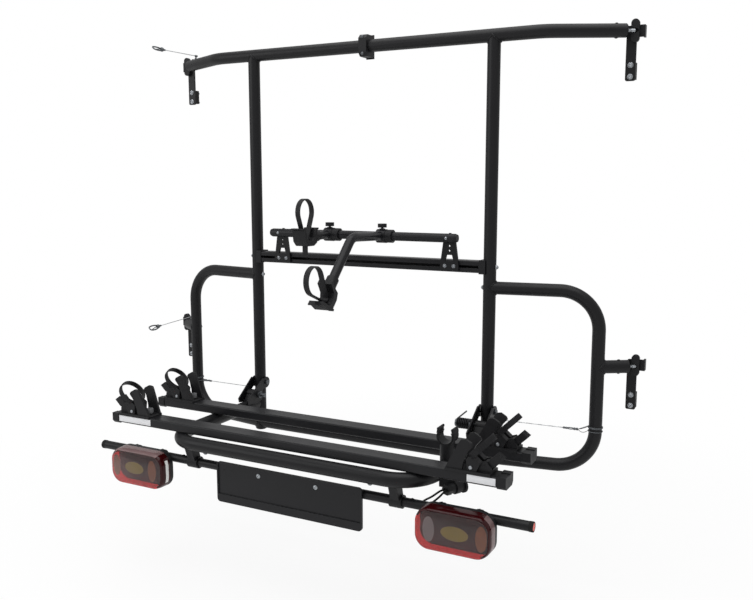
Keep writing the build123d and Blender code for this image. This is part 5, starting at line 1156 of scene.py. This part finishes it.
# Leads from the parked plug into the back of the light bar
LEAD_D = 6.0
LEADS = {
    "left": (
        (491.38, -588.74, -183.5),
        (483.7, -602.77, -183.5),
        (462.0, -615.0, -202.5),
        (440.0, -623.0, -214.5),
        (440.0, -651.8, -214.5),
    ),
    "right": (
        (504.38, -588.74, -183.5),
        (496.7, -602.77, -183.5),
        (484.0, -617.0, -200.5),
        (468.0, -624.0, -214.5),
        (468.0, -651.8, -214.5),
    ),
}
for name, route in LEADS.items():
    lead = cord_curve(f"lead_{name}", route, LEAD_D, "black_rubber", "platform")
    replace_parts(lead, f"lamp_lead_{name}")

WHITE = (1, 1, 1, 1)


def shown_to_camera(tree):
    """1 for rays that the camera sends, also through a clear lens, and 0 for all others."""
    rays = add(tree, "LightPath", {})
    looking = {0: rays.outputs["Is Camera Ray"], 1: rays.outputs["Is Transmission Ray"]}
    return add(tree, "Math", looking, operation="MAXIMUM").outputs["Value"]


# A white room: full white to the camera, and a weaker light on the carrier
WORLD_LIGHT = 0.6
world = bpy.data.worlds.new("white_room")
bpy.context.scene.world = world
world.use_nodes = True
sky = world.node_tree
sky.nodes.clear()
room_light = {"Value": shown_to_camera(sky), "To Min": WORLD_LIGHT, "To Max": 1.0}
strength = add(sky, "MapRange", room_light)
white = add(sky, "Background", {"Color": WHITE, "Strength": strength.outputs["Result"]})
add(sky, "OutputWorld", {"Surface": white.outputs["Background"]})


def area_light(name, place, target, size, power):
    """A square soft light that faces its target."""
    data = bpy.data.lights.new(name, "AREA")
    data.shape = "SQUARE"
    data.size = size
    data.energy = power
    lamp = bpy.data.objects.new(name, data)
    lamp.location = place
    lamp.rotation_euler = (Vector(target) - Vector(place)).to_track_quat("-Z", "Y").to_euler()
    bpy.context.scene.collection.objects.link(lamp)


# A broad light overhead and a weaker one from the front left: place, target and size in metres,
# and power in watts
LIGHTS = (
    ("overhead", (0.2, -0.8, 3.6), (0.0, -0.3, 0.2), 4.0, 95),
    ("front_left", (-2.6, -3.0, 1.6), (0.0, -0.3, 0.3), 2.2, 28),
)
for light in LIGHTS:
    area_light(*light)

# The floor's radius in metres, and how its own glow grows from near the carrier to further out
FLOOR_R = 14.0
FLOOR_SIDES = 64
FLOOR_GLOW = {"From Min": 0.7, "From Max": 2.4, "To Min": 0.84, "To Max": 1.0}


def white_paper():
    """White studio paper, uncoated: lit softly near the carrier, and as white as the room further out.

    Its fibres can't show, and its unevenness is drawn at 6 mm.
    """
    material = coated(
        "white_paper",
        ("f4f4f4", "f1f1f1", "f6f6f6"),
        patch_mm=400,
        grain_mm=6,
        depth_mm=0.05,
        rough=(0.75, 0.9),
        wear=0.0,
    )
    tree = material.node_tree
    floor_place = {0: add(tree, "TexCoord", {}).outputs["Object"]}
    from_middle = add(tree, "VectorMath", floor_place, operation="LENGTH")
    spread = {"Value": from_middle.outputs["Value"], **FLOOR_GLOW}
    whiteness = add(tree, "MapRange", spread, interpolation_type="SMOOTHSTEP")
    seen_share = {0: whiteness.outputs["Result"], 1: shown_to_camera(tree)}
    share = add(tree, "Math", seen_share, operation="MULTIPLY")
    glow = add(tree, "Emission", {"Color": WHITE, "Strength": 1.0})
    blend = add(tree, "MixShader", {0: share.outputs["Value"]})
    tree.links.new(tree.nodes["Principled BSDF"].outputs["BSDF"], blend.inputs[1])
    tree.links.new(glow.outputs["Emission"], blend.inputs[2])
    tree.links.new(blend.outputs["Shader"], tree.nodes["Material Output"].inputs["Surface"])
    return material


floor_mesh = bmesh.new()
skin(floor_mesh, [ring(at(0, 0, z), Z_AXIS, FLOOR_R, FLOOR_SIDES) for z in (FLOOR_Z - FLOOR_T, FLOOR_Z)])
floor_data = bpy.data.meshes.new("floor")
floor_mesh.to_mesh(floor_data)
floor_mesh.free()
floor_data.materials.append(white_paper())
floor = bpy.data.objects.new("floor", floor_data)
bpy.context.scene.collection.objects.link(floor)

camera_data = bpy.data.cameras.new("camera")
camera_data.lens = CAMERA_LENS
camera_data.sensor_width = SENSOR_W
camera = bpy.data.objects.new("camera", camera_data)
camera.location = at(*CAMERA_PLACE)
camera.rotation_euler = [radians(turn) for turn in CAMERA_TURN]
bpy.context.scene.collection.objects.link(camera)
bpy.context.scene.camera = camera
bpy.context.scene.view_settings.view_transform = "Standard"
